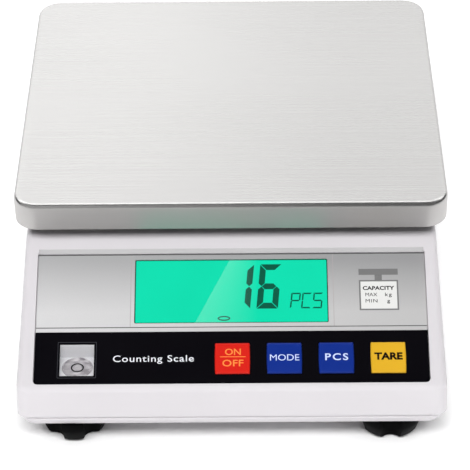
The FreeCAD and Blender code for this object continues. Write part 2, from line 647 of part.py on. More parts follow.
# ---- Feet ----------------------------------------------------------------------------------
def foot_knob(x, y, phase):
    """Lobed hand knob, widest near the top; phase turns it by that share of a lobe."""
    cone = Part.makeCone(KNOB_TIP_RADIUS, KNOB_RADIUS, KNOB_SHOULDER - KNOB_BOTTOM, V(x, y, KNOB_BOTTOM))
    drum = rod(KNOB_RADIUS, x, y, KNOB_SHOULDER, KNOB_TOP)
    knob = cone.fuse(drum).removeSplitter()
    knob = knob.makeChamfer(0.8, [e for e in knob.Edges if e.BoundBox.ZMin > KNOB_TOP - 1e-3])
    away = KNOB_RADIUS - SCALLOP_DEPTH + SCALLOP_RADIUS
    for i in range(KNOB_LOBES):
        angle = math.radians(-90 + 360 * (i + 0.5 + phase) / KNOB_LOBES)
        knob = knob.cut(rod(SCALLOP_RADIUS, x + away * math.cos(angle), y + away * math.sin(angle), -1, 20))
    knob = knob.cut(rod(SOLE_RADIUS + 0.1, x, y, KNOB_BOTTOM - 1, 2.6))
    knob = knob.cut(rod(SPIGOT_RADIUS + 0.08, x, y, 2.5, 4.2))
    return knob.cut(rod(STUD_RADIUS, x, y, 5.0, 20))


def foot_stud(x, y):
    """Adjusting stud; a few ring grooves stand for its thread below the case."""
    stud = rod(STUD_RADIUS, x, y, 5.0, STUD_TOP)
    stud = stud.makeChamfer(0.8, [e for e in stud.Edges if e.BoundBox.ZMin > STUD_TOP - 1e-3])
    for i in range(8):
        z = KNOB_TOP + 1.5 + 1.25 * i
        stud = stud.cut(Part.makeTorus(STUD_RADIUS + 0.25, 0.5, V(x, y, z), V(0, 0, 1)))
    return stud


def foot_pad(x, y):
    """Rubber sole that turns in the knob on a short spigot."""
    sole = rod(SOLE_RADIUS, x, y, 0.0, 2.5)
    sole = sole.makeChamfer(0.4, [e for e in sole.Edges if e.BoundBox.ZMax < 1e-3])
    return sole.fuse(rod(SPIGOT_RADIUS, x, y, 2.4, 4.1)).removeSplitter()


def foot_nut(x, y):
    nut = hexagon(x, y, PLATE_TOP, PLATE_TOP + 7.0, 14.0)
    return nut.cut(rod(STUD_RADIUS + 0.1, x, y, PLATE_TOP - 1, PLATE_TOP + 8))


# ---- Electrics -----------------------------------------------------------------------------
def main_board():
    top = MAIN_BOARD_BOTTOM + BOARD_THICK
    board = slab(*MAIN_BOARD, 2.0, MAIN_BOARD_BOTTOM, top)
    for x, y in MAIN_BOARD_POSTS:
        board = board.cut(rod(1.7, x, y, MAIN_BOARD_BOTTOM - 1, top + 1))
    low = top - 0.1
    parts = [board]
    for x0, y0, x1, y1, height in MAIN_BOARD_PARTS.values():
        parts.append(box(x0, y0, low, x1, y1, top + height))
    parts += [rod(CAPACITOR_RADIUS, x, y, low, top + CAPACITOR_HEIGHT) for x, y in CAPACITORS]
    return joined(parts)


def buzzer():
    x, y = BUZZER
    bottom = MAIN_BOARD_BOTTOM + BOARD_THICK
    can = rod(BUZZER_RADIUS, x, y, bottom, bottom + BUZZER_HEIGHT)
    return can.cut(rod(1.0, x, y, bottom + BUZZER_HEIGHT - 2.0, bottom + BUZZER_HEIGHT + 1))


def battery():
    """Sealed block with a lid joint near one end and two flat terminals."""
    length, depth, height = BATTERY
    end = length / 2
    back, top = BATTERY_FRONT + depth, BATTERY_BOTTOM + height
    block = box(-end, BATTERY_FRONT, BATTERY_BOTTOM, end, back, top)
    block = block.makeFillet(1.5, block.Edges)
    joint = box(end - 12.0, BATTERY_FRONT - 1, BATTERY_BOTTOM - 1, end - 11.0, back + 1, top + 1)
    core = box(-end, BATTERY_FRONT + 0.6, BATTERY_BOTTOM + 0.6, end, back - 0.6, top - 0.6)
    block = block.cut(joint.cut(core))
    for y in battery_tabs():
        block = block.fuse(box(end - 1, y - 2.4, BATTERY_TAB - 0.4, end + 6.0, y + 2.4, BATTERY_TAB + 0.4))
    return block.removeSplitter()


def battery_tabs():
    return (BATTERY_FRONT + 14.0, BATTERY_FRONT + 56.0)


def battery_leads():
    """Two leads from the terminals, along the right wall, to their socket on the main board."""
    x = BATTERY[0] / 2 + 6.0
    z = BATTERY_TAB
    near, far = battery_tabs()
    first = cable([(x, near, z), (x + 14, near, z), (x + 20, near - 24, z), (x + 20, 0, z),
                   (x + 16, -30, z - 3.4), (62, -59, 48), (62, -60, 34)], 1.1)
    second = cable([(x, far, z), (x + 16, far, z), (x + 25, far - 30, z), (x + 25, 0, z),
                    (x + 21, -32, z - 3.4), (66, -65, 48), (66, -66, 34)], 1.1)
    return [first, second]


def along_y(radius, y0, y1):
    """Cylinder on the power inlet's axis."""
    return Part.makeCylinder(radius, y1 - y0, V(JACK_X, y0, JACK_Z), V(0, 1, 0))


def dc_jack():
    outer = CASE_BACK + JACK_STANDS_OUT
    inner = CASE_BACK - JACK_LENGTH - 0.4
    body = along_y(JACK_RADIUS, inner, CASE_BACK - 0.4)
    flange = along_y(JACK_FLANGE, CASE_BACK - 0.4, outer)
    socket = along_y(2.85, outer - 10.0, outer)
    pin = along_y(1.0, outer - 10.4, outer - 1.4)
    return joined([body, flange]).cut(socket).fuse(pin).removeSplitter()


def dc_jack_nut():
    nut = hexagon(0, 0, 0, 2.4, 14.0)
    nut = nut.cut(rod(JACK_RADIUS, 0, 0, -1, 4))
    nut.rotate(V(0, 0, 0), V(1, 0, 0), -90)
    nut.translate(V(JACK_X, CASE_BACK - 6.0, JACK_Z))
    return nut


def dc_leads():
    """Two leads from the inlet, past the load cell's right end, to their socket on the main board."""
    y = CASE_BACK - JACK_LENGTH - 0.4
    leads = []
    for x, end in ((JACK_X - 2, 48.5), (JACK_X + 2, 51.5)):
        leads.append(cable([(x, y, JACK_Z), (x, y - 14, JACK_Z), (x + 12, y - 34, 33), (x + 15, y - 74, 30),
                            (x + 15, -10, 30), (x + 2, -34, 38), (end + 1, -62, 42), (end, -63, 34)], 0.9))
    return leads


def load_cell_cable():
    front = PAN_MIDDLE - CELL_WIDTH / 2
    return cable([(-20, front, 45), (-20, 8, 45), (-26, -12, 42), (-36, -36, 41), (-36, -37, 33)], 1.6)


def ribbon_cable():
    """Flat cable between the two boards, folded over in one side-on curve."""
    points = [V(-42, -70.0, 50.6), V(-42, -74.0, 42.0), V(-42, -90.0, 42.0), V(-42, -95.0, 33.0)]
    path = rounded_path(points)
    start = points[0]
    across = V(7.5, 0, 0)
    up = (points[1] - points[0]).normalize().cross(V(1, 0, 0)) * 0.35
    ring = [start - across - up, start + across - up, start + across + up, start - across + up]
    return path.makePipeShell([Part.makePolygon(ring + ring[:1])], True, False)


def small_screw(radius, head_radius, head, length):
    """Pan-head screw pointing down from the origin: head above, shank below."""
    top = Part.makeCone(head_radius, head_radius * 0.75, head, V(0, 0, 0))
    shank = rod(radius, 0, 0, -length, 0.2)
    low = head - 0.6
    cross = joined([box(-1.2, -0.25, low, 1.2, 0.25, head + 1), box(-0.25, -1.2, low, 0.25, 1.2, head + 1)])
    return top.fuse(shank).cut(cross)


def placed(shape, x, y, z, flip=False):
    """A copy of the shape moved into place, turned upside down first if asked."""
    moved = shape.copy()
    if flip:
        moved.rotate(V(0, 0, 0), V(1, 0, 0), 180)
    moved.translate(V(x, y, z))
    return moved


def housing_screws():
    long = small_screw(1.5, SCREW_HEAD, SCREW_RECESS - 0.1, 13.0)
    short = small_screw(1.5, SCREW_HEAD, COVER_RECESS - 0.1, 4.5)
    screws = [placed(long, x, y, UNDERSIDE + SCREW_RECESS, flip=True) for x, y in CASE_BOSSES]
    x, y = COVER_SCREW
    return screws + [placed(short, x, y, UNDERSIDE + COVER_RECESS, flip=True)]


def board_screws():
    screw = small_screw(1.15, 2.4, 1.2, 6.0)
    top = MAIN_BOARD_BOTTOM + BOARD_THICK
    under = DISPLAY_BOARD_FACE - BOARD_THICK
    lower = [placed(screw, x, y, top) for x, y in MAIN_BOARD_POSTS]
    upper = [on_console(placed(screw, x, y, under, flip=True)) for x, y in DISPLAY_POSTS]
    return lower + upper


def board_standoffs():
    posts = []
    for x, y in MAIN_BOARD_POSTS:
        post = rod(3.0, x, y, PLATE_TOP, MAIN_BOARD_BOTTOM)
        posts.append(post.cut(rod(1.2, x, y, PLATE_TOP, MAIN_BOARD_BOTTOM + 1)))
    return posts


# ---- Everything, one file per piece --------------------------------------------------------
def main():
    os.makedirs("parts", exist_ok=True)
    group = Part.makeCompound
    save("upper_housing", upper_housing())
    save("bottom_shell", bottom_shell())
    save("battery_cover", battery_cover())
    save("base_plate", base_plate())
    save("weighing_pan", weighing_pan())
    save("pan_support", pan_support())
    for corner, (x, y) in support_corners().items():
        save("pan_bumper_" + corner, pan_bumper(x, y))
    save("load_cell", load_cell())
    save("load_cell_upper_block", cell_block(1, CELL_TOP, SUPPORT_BOTTOM))
    save("load_cell_lower_block", cell_block(-1, PLATE_TOP, CELL_BOTTOM))
    save("load_cell_upper_bolts", group([cap_bolt(x, CELL_TOP - 10, SUPPORT_TOP) for x in CELL_BOLTS]))
    save("load_cell_lower_bolts", group([cap_bolt(-x, FLOOR + 0.2, CELL_TOP) for x in CELL_BOLTS]))
    save("overload_stop_screw", overload_stop_screw())
    save("overload_stop_nut", overload_stop_nut())
    save("console_overlay", console_overlay())
    save("display_window", display_layer(-0.1, 0.75, -OVERLAY_THICK, -0.05))
    save("lcd_panel", display_layer(1.0, 0.5, LCD_FOOT, -OVERLAY_THICK))
    save("lcd_backlight", display_layer(1.0, 0.5, LIGHT_GUIDE_FOOT, LCD_FOOT))
    save("lcd_holder", lcd_holder())
    save("display_board", display_board())
    for i, key in enumerate(KEYS):
        save("keycap_" + key, keycap(i))
        save("key_plunger_" + key, key_plunger(i))
    save("key_switches", group([key_switch(i) for i in range(len(KEYS))]))
    save("level_holder", level_holder())
    save("level_vial", level_vial(False))
    save("level_fluid", level_vial(True))
    for corner, (x, y, phase) in FEET.items():
        save("foot_knob_" + corner, foot_knob(x, y, phase))
        save("foot_stud_" + corner, foot_stud(x, y))
        save("foot_pad_" + corner, foot_pad(x, y))
    save("foot_nuts", group([foot_nut(x, y) for x, y, _ in FEET.values()]))
    save("main_board", main_board())
    save("board_standoffs", group(board_standoffs()))
    save("board_screws", group(board_screws()))
    save("housing_screws", group(housing_screws()))
    save("buzzer", buzzer())
    save("battery", battery())
    save("battery_leads", group(battery_leads()))
    save("dc_jack", dc_jack())
    save("dc_jack_nut", dc_jack_nut())
    save("dc_leads", group(dc_leads()))
    save("load_cell_cable", load_cell_cable())
    save("ribbon_cable", ribbon_cable())


main()
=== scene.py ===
import json
import math

import bmesh
import bpy
from mathutils import Matrix, Vector


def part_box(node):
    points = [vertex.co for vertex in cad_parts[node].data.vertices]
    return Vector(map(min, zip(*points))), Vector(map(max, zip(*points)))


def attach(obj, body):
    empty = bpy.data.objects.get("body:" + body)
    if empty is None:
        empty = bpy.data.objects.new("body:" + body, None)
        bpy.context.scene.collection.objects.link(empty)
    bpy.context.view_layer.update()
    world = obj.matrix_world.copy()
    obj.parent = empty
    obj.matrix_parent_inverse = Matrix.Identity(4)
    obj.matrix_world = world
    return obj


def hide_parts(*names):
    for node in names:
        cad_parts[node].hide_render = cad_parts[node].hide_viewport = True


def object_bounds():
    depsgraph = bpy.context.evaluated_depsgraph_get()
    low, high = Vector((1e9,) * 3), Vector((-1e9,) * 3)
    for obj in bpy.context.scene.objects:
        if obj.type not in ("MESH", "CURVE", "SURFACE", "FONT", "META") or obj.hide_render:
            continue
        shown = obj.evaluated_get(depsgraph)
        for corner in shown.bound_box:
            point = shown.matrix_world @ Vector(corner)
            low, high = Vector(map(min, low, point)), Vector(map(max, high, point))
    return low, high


# A counting scale: a brushed steel pan on a white moulded case, with a sloped console.
# Everything is in metres, in the frame's own axes: X right, Y to the back, Z up.

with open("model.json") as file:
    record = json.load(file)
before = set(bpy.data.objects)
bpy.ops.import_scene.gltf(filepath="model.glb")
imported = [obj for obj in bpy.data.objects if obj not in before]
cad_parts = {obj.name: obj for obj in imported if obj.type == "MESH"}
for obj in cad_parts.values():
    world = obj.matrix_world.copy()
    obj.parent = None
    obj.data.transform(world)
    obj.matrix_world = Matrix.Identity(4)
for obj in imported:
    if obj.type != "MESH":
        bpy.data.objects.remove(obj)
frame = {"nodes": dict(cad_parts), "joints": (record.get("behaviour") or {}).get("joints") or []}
cad_low, cad_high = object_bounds()
nodes = frame["nodes"]
joints = {joint["name"]: joint for joint in frame["joints"]}
MM = 0.001

# ---- The console's own axes: right, up the slope, out of the face --------------------------
OVERLAY_THICK = 0.8 * MM
face_out = -Vector(joints["key_mode_press"]["axis"]).normalized()
SLOPE = math.atan2(-face_out.y, face_out.z)
overlay_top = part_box("console_overlay")[1]
CONSOLE = Matrix.Translation((0, overlay_top.y - OVERLAY_THICK * math.sin(SLOPE), overlay_top.z))
CONSOLE = CONSOLE @ Matrix.Rotation(SLOPE, 4, "X")
TO_CONSOLE = CONSOLE.inverted()


def console_box(node):
    """Lowest and highest corner of a CAD node in console coordinates."""
    points = [TO_CONSOLE @ vertex.co for vertex in nodes[node].data.vertices]
    low = Vector([min(p[i] for p in points) for i in range(3)])
    high = Vector([max(p[i] for p in points) for i in range(3)])
    return low, high


# ---- Shader helpers ------------------------------------------------------------------------
def srgb(red, green, blue):
    """Linear colour of an 8-bit screen colour."""
    def linear(value):
        value /= 255
        return value / 12.92 if value <= 0.04045 else ((value + 0.055) / 1.055) ** 2.4
    return (linear(red), linear(green), linear(blue), 1.0)


class Finish:
    """A material under construction: add() makes a node and sets or links its inputs."""

    def __init__(self, name):
        self.material = bpy.data.materials.new(name)
        self.material.use_nodes = True
        self.tree = self.material.node_tree
        self.tree.nodes.clear()
        self.output = self.tree.nodes.new("ShaderNodeOutputMaterial")

    def add(self, kind, inputs=None, **settings):
        made = self.tree.nodes.new("ShaderNode" + kind)
        for key, value in settings.items():
            setattr(made, key, value)
        for key, value in (inputs or {}).items():
            if isinstance(value, bpy.types.NodeSocket):
                self.tree.links.new(value, made.inputs[key])
            else:
                made.inputs[key].default_value = value
        return made

    def coordinates(self, scale, kind="Object"):
        """The surface's own coordinates, stretched by scale, in features per metre."""
        source = self.add("TexCoord").outputs[kind]
        return self.add("Mapping", {"Vector": source, "Scale": scale}).outputs["Vector"]

    def noise(self, scale, detail=2.0, roughness=0.5, kind="Object"):
        """Noise on the surface; scale is one number or one for each axis, in features per metre."""
        scale = scale if isinstance(scale, tuple) else (scale,) * 3
        place = self.coordinates(scale, kind)
        inputs = {"Vector": place, "Scale": 1.0, "Detail": detail, "Roughness": roughness}
        return self.add("TexNoise", inputs).outputs["Fac"]

    def spread(self, value, low, high, start=0.3, stop=0.7):
        """Maps start..stop of a value onto low..high and holds it there outside."""
        inputs = {"Value": value, "From Min": start, "From Max": stop, "To Min": low, "To Max": high}
        return self.add("MapRange", inputs).outputs["Result"]

    def blend(self, value, first, second):
        """Mixes two colours by a value from 0 to 1."""
        return self.add("Mix", {0: value, 6: first, 7: second}, data_type="RGBA").outputs[2]

    def compute(self, operation, *values):
        """Result of a Math node on numbers or sockets."""
        return self.add("Math", dict(enumerate(values)), operation=operation).outputs[0]

    def position(self, axis):
        """Place of the surface point along one of the piece's own axes."""
        place = self.add("TexCoord").outputs["Object"]
        return self.add("SeparateXYZ", {"Vector": place}).outputs[axis]

    def bump(self, height, distance):
        inputs = {"Height": height, "Distance": distance, "Strength": 1.0}
        return self.add("Bump", inputs).outputs["Normal"]

    def surface(self, shader):
        """Puts the shader on the surface and gives back the material."""
        self.tree.links.new(shader.outputs[0], self.output.inputs["Surface"])
        return self.material

    def principled(self, inputs):
        return self.surface(self.add("BsdfPrincipled", inputs))


def moulded(name, colour, rough, grain=0.35 * MM, depth=0.012 * MM, shift=0.04, specular=0.5):
    """Moulded plastic: fine spark texture, slow tone drift and handled, smoother patches."""
    finish = Finish(name)
    drift = finish.noise(22.0, 3.0)
    darker = tuple(c * (1 - shift) for c in colour[:3]) + (1.0,)
    base = finish.blend(finish.spread(drift, 0.0, 1.0), darker, colour)
    worn = finish.noise(60.0, 4.0, 0.6)
    texture = finish.noise(1 / grain, 2.0, 0.6)
    return finish.principled({
        "Base Color": base, "Roughness": finish.spread(worn, rough - 0.06, rough + 0.06),
        "Normal": finish.bump(texture, depth), "Specular IOR Level": specular})


EDGE_ROUGHER = 0.22          # the turned-down edge is brushed less finely than the top
# lighter colour of the turned-down edge: a painted sheen that brightens its reflection
EDGE_PAINTED_SHEEN = (0.44, 0.43, 0.425, 1)
EDGE_START = 1.4 * MM        # depth below the pan's top where the edge's brushing sets in
EDGE_FULL = 2.5 * MM
PAN_DARK = (0.405, 0.40, 0.395, 1)
PAN_LIGHT = (0.445, 0.44, 0.435, 1)
PAN_CLOUD = (0.36, 0.36, 0.37, 1)
pan_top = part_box("weighing_pan")[1].z


def brushed_pan():
    """Stainless sheet brushed from side to side; the grain follows the unrolled sheet over its bends."""
    finish = Finish("brushed_stainless")
    hair = finish.noise((5.0, 5200.0, 1.0), 3.0, 0.7, "UV")
    streak = finish.noise((2.0, 1300.0, 1.0), 2.0, 0.6, "UV")
    cloud = finish.noise((7.0, 11.0, 1.0), 3.0, 0.5, "UV")
    grain = finish.compute("MULTIPLY", finish.compute("ADD", hair, streak), 0.5)
    base = finish.blend(finish.spread(grain, 0.0, 1.0, 0.35, 0.65), PAN_DARK, PAN_LIGHT)
    base = finish.blend(finish.spread(cloud, 0.0, 0.06), base, PAN_CLOUD)
    edge = finish.spread(finish.position("Z"), 1.0, 0.0, pan_top - EDGE_FULL, pan_top - EDGE_START)
    # painted sheen: the turned-down edge takes a lighter colour
    base = finish.blend(edge, base, EDGE_PAINTED_SHEEN)
    rough = finish.spread(grain, 0.23, 0.29, 0.35, 0.65)
    rough = finish.compute("ADD", rough, finish.spread(cloud, -0.02, 0.02))
    rough = finish.compute("ADD", rough, finish.compute("MULTIPLY", edge, EDGE_ROUGHER))
    tangent = finish.add("Tangent", direction_type="UV_MAP", uv_map="sheet").outputs[0]
    return finish.principled({
        "Base Color": base, "Metallic": 1.0, "Roughness": rough, "Anisotropic": 0.7,
        "Anisotropic Rotation": 0.25, "Tangent": tangent, "Normal": finish.bump(hair, 0.0009 * MM)})


def metal(name, colour, rough):
    """Plain turned or plated metal with small dull patches."""
    finish = Finish(name)
    patch = finish.noise(120.0, 4.0, 0.6)
    duller = tuple(c * 0.82 for c in colour[:3]) + (1.0,)
    return finish.principled({
        "Base Color": finish.blend(finish.spread(patch, 0.0, 1.0), duller, colour), "Metallic": 1.0,
        "Roughness": finish.spread(patch, rough + 0.08, rough - 0.04),
        "Normal": finish.bump(finish.noise(900.0, 2.0), 0.004 * MM)})


def printed(name, colour, rough, speck=0.03, specular=0.35):
    """Ink under or on the overlay film: a very fine fleck and the film's slight orange peel."""
    finish = Finish(name)
    fleck = finish.noise(3500.0, 2.0, 0.6)
    darker = tuple(c * (1 - 2 * speck) for c in colour[:3]) + (1.0,)
    peel = finish.noise(420.0, 2.0, 0.5)
    smear = finish.noise(45.0, 3.0, 0.6)
    return finish.principled({
        "Base Color": finish.blend(finish.spread(fleck, 0.0, 1.0), darker, colour),
        "Roughness": finish.spread(smear, rough - 0.05, rough + 0.05),
        "Normal": finish.bump(peel, 0.006 * MM), "Specular IOR Level": specular})


def lit_cell():
    """The display's back-lit cell: green light that is almost even."""
    finish = Finish("lcd_green")
    glow = finish.noise(18.0, 2.0)
    colour = finish.blend(finish.spread(glow, 0.0, 1.0), srgb(1, 224, 177), srgb(2, 232, 184))
    return finish.principled({
        "Base Color": (0.004, 0.05, 0.03, 1), "Roughness": finish.spread(glow, 0.30, 0.36),
        "Emission Color": colour, "Emission Strength": 0.97, "Specular IOR Level": 0.0})


STRAIGHT_MIRROR = 0.04       # share of light that clear plastic reflects when seen straight on


def clear_sheet(name, tint, rough, dust=0.02):
    """Thin clear plastic: see-through straight on and more mirror-like at a slant, with a trace of dust."""
    finish = Finish(name)
    haze = finish.spread(finish.noise(70.0, 3.0, 0.6), rough, rough + dust)
    clear = finish.add("BsdfTransparent", {"Color": tint})
    mirror = finish.add("BsdfGlossy", {"Color": (1, 1, 1, 1), "Roughness": haze})
    slant = finish.add("LayerWeight", {"Blend": 0.5}).outputs["Facing"]
    steep = finish.compute("POWER", slant, 5.0)
    share = finish.compute("MULTIPLY_ADD", steep, 1 - STRAIGHT_MIRROR, STRAIGHT_MIRROR)
    return finish.surface(finish.add("MixShader", {0: share, 1: clear.outputs[0], 2: mirror.outputs[0]}))


def board_finish():
    """Green solder mask over paler copper tracks."""
    finish = Finish("circuit_board")
    place = finish.coordinates((260.0,) * 3)
    cells = finish.add("TexVoronoi", {"Vector": place, "Scale": 1.0}, distance="CHEBYCHEV",
                       feature="DISTANCE_TO_EDGE").outputs["Distance"]
    track = finish.spread(cells, 1.0, 0.0, 0.03, 0.07)
    base = finish.blend(track, (0.012, 0.10, 0.035, 1), (0.04, 0.22, 0.08, 1))
    rough = finish.spread(finish.noise(90.0, 3.0), 0.3, 0.42)
    return finish.principled({"Base Color": base, "Roughness": rough,
                              "Normal": finish.bump(track, 0.03 * MM)})


def silver_film_painted_shade():
    """Silver ink with painted shade: its colour grows darker towards the top, under the pan's overhang, and
    towards the right.
    """
    finish = Finish("overlay_silver")
    # painted shade: the base colour darkens up the slope and to the right
    down = finish.spread(finish.position("Y"), 0.0, 1.0, -72 * MM, -100 * MM)
    across = finish.spread(finish.position("X"), 0.0, 1.0, -100 * MM, 100 * MM)
    left = finish.blend(down, (0.44, 0.44, 0.445, 1), (0.66, 0.655, 0.66, 1))
    right = finish.blend(down, (0.32, 0.32, 0.325, 1), (0.52, 0.515, 0.515, 1))
    base = finish.blend(across, left, right)
    fleck = finish.noise(3500.0, 2.0, 0.6)
    base = finish.blend(finish.spread(fleck, 0.0, 0.16), base, (0.30, 0.30, 0.30, 1))
    rough = finish.spread(finish.noise(45.0, 3.0, 0.6), 0.40, 0.48)
    peel = finish.noise(420.0, 2.0)
    return finish.principled({
        "Base Color": base, "Metallic": 0.1, "Roughness": rough, "Normal": finish.bump(peel, 0.006 * MM),
        "Specular IOR Level": 0.3})


def level_liquid():
    """Liquid in its cup, with painted light: pale and dark streaks in its colour stand for light bent and
    reflected by the curved wall.
    """
    finish = Finish("level_liquid")
    streak = finish.noise((240.0, 420.0, 240.0), 2.0, 0.5)
    soft = finish.noise(90.0, 2.0, 0.5)
    # painted light: noise streaks lighten and darken the liquid's colour
    bright = finish.spread(streak, 0.0, 1.0, 0.38, 0.66)
    base = finish.blend(bright, (0.30, 0.28, 0.30, 1), (0.66, 0.64, 0.66, 1))
    base = finish.blend(finish.spread(soft, 0.0, 0.7, 0.42, 0.60), base, (0.40, 0.38, 0.40, 1))
    return finish.principled({"Base Color": base, "Roughness": finish.spread(soft, 0.10, 0.20),
                              "Normal": finish.bump(streak, 0.02 * MM), "Specular IOR Level": 0.5})


MATERIALS = {
    "stainless_pan": brushed_pan(),
    "housing_plastic": moulded("white_housing", (0.66, 0.637, 0.66, 1), 0.42, shift=0.02, specular=0.3),
    "overlay_print": silver_film_painted_shade(),
    "clear_window": clear_sheet("clear_window", (1, 1, 1, 1), 0.004, 0.004),
    "lcd_cell": lit_cell(),
    "light_guide": moulded("light_guide", (0.75, 0.85, 0.78, 1), 0.3),
    "key_red": moulded("key_red", srgb(209, 32, 22), 0.36, 0.25 * MM, 0.003 * MM, specular=0.25),
    "key_blue": moulded("key_blue", srgb(12, 43, 131), 0.36, 0.25 * MM, 0.003 * MM, specular=0.25),
    "key_yellow": moulded("key_yellow", srgb(219, 170, 40), 0.36, 0.25 * MM, 0.003 * MM, specular=0.25),
    "black_plastic": moulded("black_plastic", (0.0015, 0.0015, 0.0018, 1), 0.5, 0.4 * MM, 0.02 * MM, 0.2,
                             specular=0.03),
    "black_rubber": moulded("black_rubber", (0.018, 0.018, 0.018, 1), 0.72, 0.5 * MM, 0.03 * MM, 0.2),
    "level_cup": moulded("level_cup", (0.76, 0.76, 0.78, 1), 0.35),
    "clear_vial": clear_sheet("clear_vial", (0.97, 0.97, 0.98, 1), 0.03),
    "level_liquid": level_liquid(),
    "plated_steel": metal("plated_steel", (0.62, 0.61, 0.58, 1), 0.30),
    "aluminium": metal("aluminium", (0.78, 0.78, 0.79, 1), 0.34),
    "circuit_board": board_finish(),
    "battery_case": moulded("battery_case", (0.05, 0.05, 0.055, 1), 0.45),
    "cable_jacket": moulded("cable_jacket", (0.03, 0.03, 0.03, 1), 0.5),
}
BLACK_PRINT = printed("overlay_black", srgb(5, 4, 8), 0.45, speck=0.1, specular=0.05)
WHITE_INK = printed("ink_white", srgb(236, 238, 244), 0.45)
PALE_BLUE_INK = printed("ink_pale_blue", srgb(205, 218, 250), 0.45)
ORANGE_INK = printed("ink_orange", srgb(255, 142, 66), 0.45)
BROWN_INK = printed("ink_brown", srgb(14, 7, 5), 0.45, specular=0.1)
FAINT_INK = printed("ink_faint", srgb(52, 52, 58), 0.45)
BLACK_INK = printed("ink_black", srgb(12, 12, 14), 0.45, specular=0.1)
GREY_INK = printed("ink_grey", srgb(118, 118, 118), 0.42)
DARK_LINE = printed("ink_line", srgb(84, 84, 84), 0.42)
RULE_INK = printed("ink_rule", srgb(176, 168, 170), 0.42)
PALE_PANEL = printed("ink_pale", srgb(226, 226, 224), 0.45)
BUBBLE = moulded("level_bubble", (0.50, 0.48, 0.50, 1), 0.25, 2.0 * MM, 0.001 * MM)
SEGMENT = printed("lcd_segment", srgb(9, 92, 70), 0.50, specular=0.05)
# grey of the pocket's upper wall: painted shade
STRIP_PAINTED_SHADE = moulded("strip_painted_shade", srgb(186, 185, 186), 0.5, specular=0.2)


# ---- Mesh helpers --------------------------------------------------------------------------
def finish_mesh(mesh, angle=40.0):
    """Faces point outwards and shade smoothly up to the given angle between them."""
    shape = bmesh.new()
    shape.from_mesh(mesh)
    bmesh.ops.remove_doubles(shape, verts=shape.verts, dist=1e-7)
    bmesh.ops.recalc_face_normals(shape, faces=shape.faces)
    shape.to_mesh(mesh)
    shape.free()
    mesh.shade_smooth()
    mesh.set_sharp_from_angle(angle=math.radians(angle))
    return mesh


def add_piece(name, mesh, body, slot, material=None, replaces=()):
    """Puts a mesh in the scene, riding its body, and names the CAD nodes that it stands for."""
    mesh.name = name
    piece = bpy.data.objects.new(name, mesh)
    bpy.context.scene.collection.objects.link(piece)
    mesh.materials.clear()
    mesh.materials.append(material or MATERIALS[slot])
    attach(piece, body)
    if replaces:
        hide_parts(*replaces)


def loft(rings, matrix=Matrix.Identity(4), uv=None):
    """Closed solid through rings with the same number of points, capped at both ends."""
    count = len(rings[0])
    verts = [matrix @ Vector(p) for ring in rings for p in ring]
    faces = [list(range(count))]
    faces.append([(len(rings) - 1) * count + i for i in range(count)])
    for level in range(len(rings) - 1):
        for i in range(count):
            on = (i + 1) % count
            near, far = level * count, (level + 1) * count
            faces.append([near + i, near + on, far + on, far + i])
    mesh = bpy.data.meshes.new("loft")
    mesh.from_pydata(verts, [], faces)
    if uv:
        flat = [point for ring in uv for point in ring]
        layer = mesh.uv_layers.new(name="sheet")
        for loop in mesh.loops:
            layer.data[loop.index].uv = flat[loop.vertex_index]
    return mesh


def rounded_rect(half_x, half_y, radius, steps=10, bulge=0.0, side_steps=1):
    """Outline points with their outward directions, anticlockwise; bulge makes the sides barrel-shaped."""
    points = []
    for quarter, (sign_x, sign_y) in enumerate(((1, 1), (-1, 1), (-1, -1), (1, -1))):
        centre = Vector((sign_x * (half_x - radius), sign_y * (half_y - radius)))
        for step in range(steps + 1):
            angle = math.radians(90 * quarter + 90 * step / steps)
            out = Vector((math.cos(angle), math.sin(angle)))
            points.append((centre + out * radius, out))
        along = Vector(((-sign_x, 0), (0, -sign_y))[quarter % 2])
        length = 2 * ((half_x, half_y)[quarter % 2] - radius)
        side = points[-1][1]
        for step in range(1, side_steps):
            points.append((points[-1][0] + along * (length / side_steps), side))
    if bulge:
        swell = [1 - (p.y / half_y) ** 2 for p, _ in points]
        points = [(Vector((p.x + math.copysign(bulge * s, p.x), p.y)), out)
                  for (p, out), s in zip(points, swell)]
    return points


def curve_mesh(curve):
    """The mesh that a curve or a text makes."""
    maker = bpy.data.objects.new("maker", curve)
    bpy.context.scene.collection.objects.link(maker)
    bpy.context.view_layer.update()
    mesh = bpy.data.meshes.new_from_object(maker.evaluated_get(bpy.context.evaluated_depsgraph_get()))
    bpy.data.objects.remove(maker)
    return mesh


def plate(loops, bottom, top, matrix=CONSOLE):
    """Flat plate between two heights; the first loop is its outline and the rest are holes."""
    curve = bpy.data.curves.new("plate", "CURVE")
    curve.dimensions = "2D"
    curve.fill_mode = "BOTH"
    curve.extrude = (top - bottom) / 2
    for loop in loops:
        spline = curve.splines.new("POLY")
        spline.points.add(len(loop) - 1)
        for point, place in zip(spline.points, loop):
            point.co = (place[0], place[1], 0, 1)
        spline.use_cyclic_u = True
    mesh = curve_mesh(curve)
    mesh.transform(matrix @ Matrix.Translation((0, 0, (top + bottom) / 2)))
    return finish_mesh(mesh, 30.0)


def place_loop(outline, centre):
    """Plain points of an outline, moved to a centre."""
    return [(p.x + centre[0], p.y + centre[1]) for p, _ in outline]


def rectangle(x0, y0, x1, y1, radius=0.0):
    """Loop of a rectangle between two corners, rounded where it has a radius."""
    if not radius:
        return [(x0, y0), (x1, y0), (x1, y1), (x0, y1)]
    outline = rounded_rect((x1 - x0) / 2, (y1 - y0) / 2, radius, 6)
    return place_loop(outline, ((x0 + x1) / 2, (y0 + y1) / 2))


def ellipse(x, y, half_x, half_y, count=40):
    """Loop of an ellipse about a centre."""
    angles = [2 * math.pi * i / count for i in range(count)]
    return [(x + half_x * math.cos(a), y + half_y * math.sin(a)) for a in angles]


def centre_of(box):
    return (box[0] + box[1]) / 2


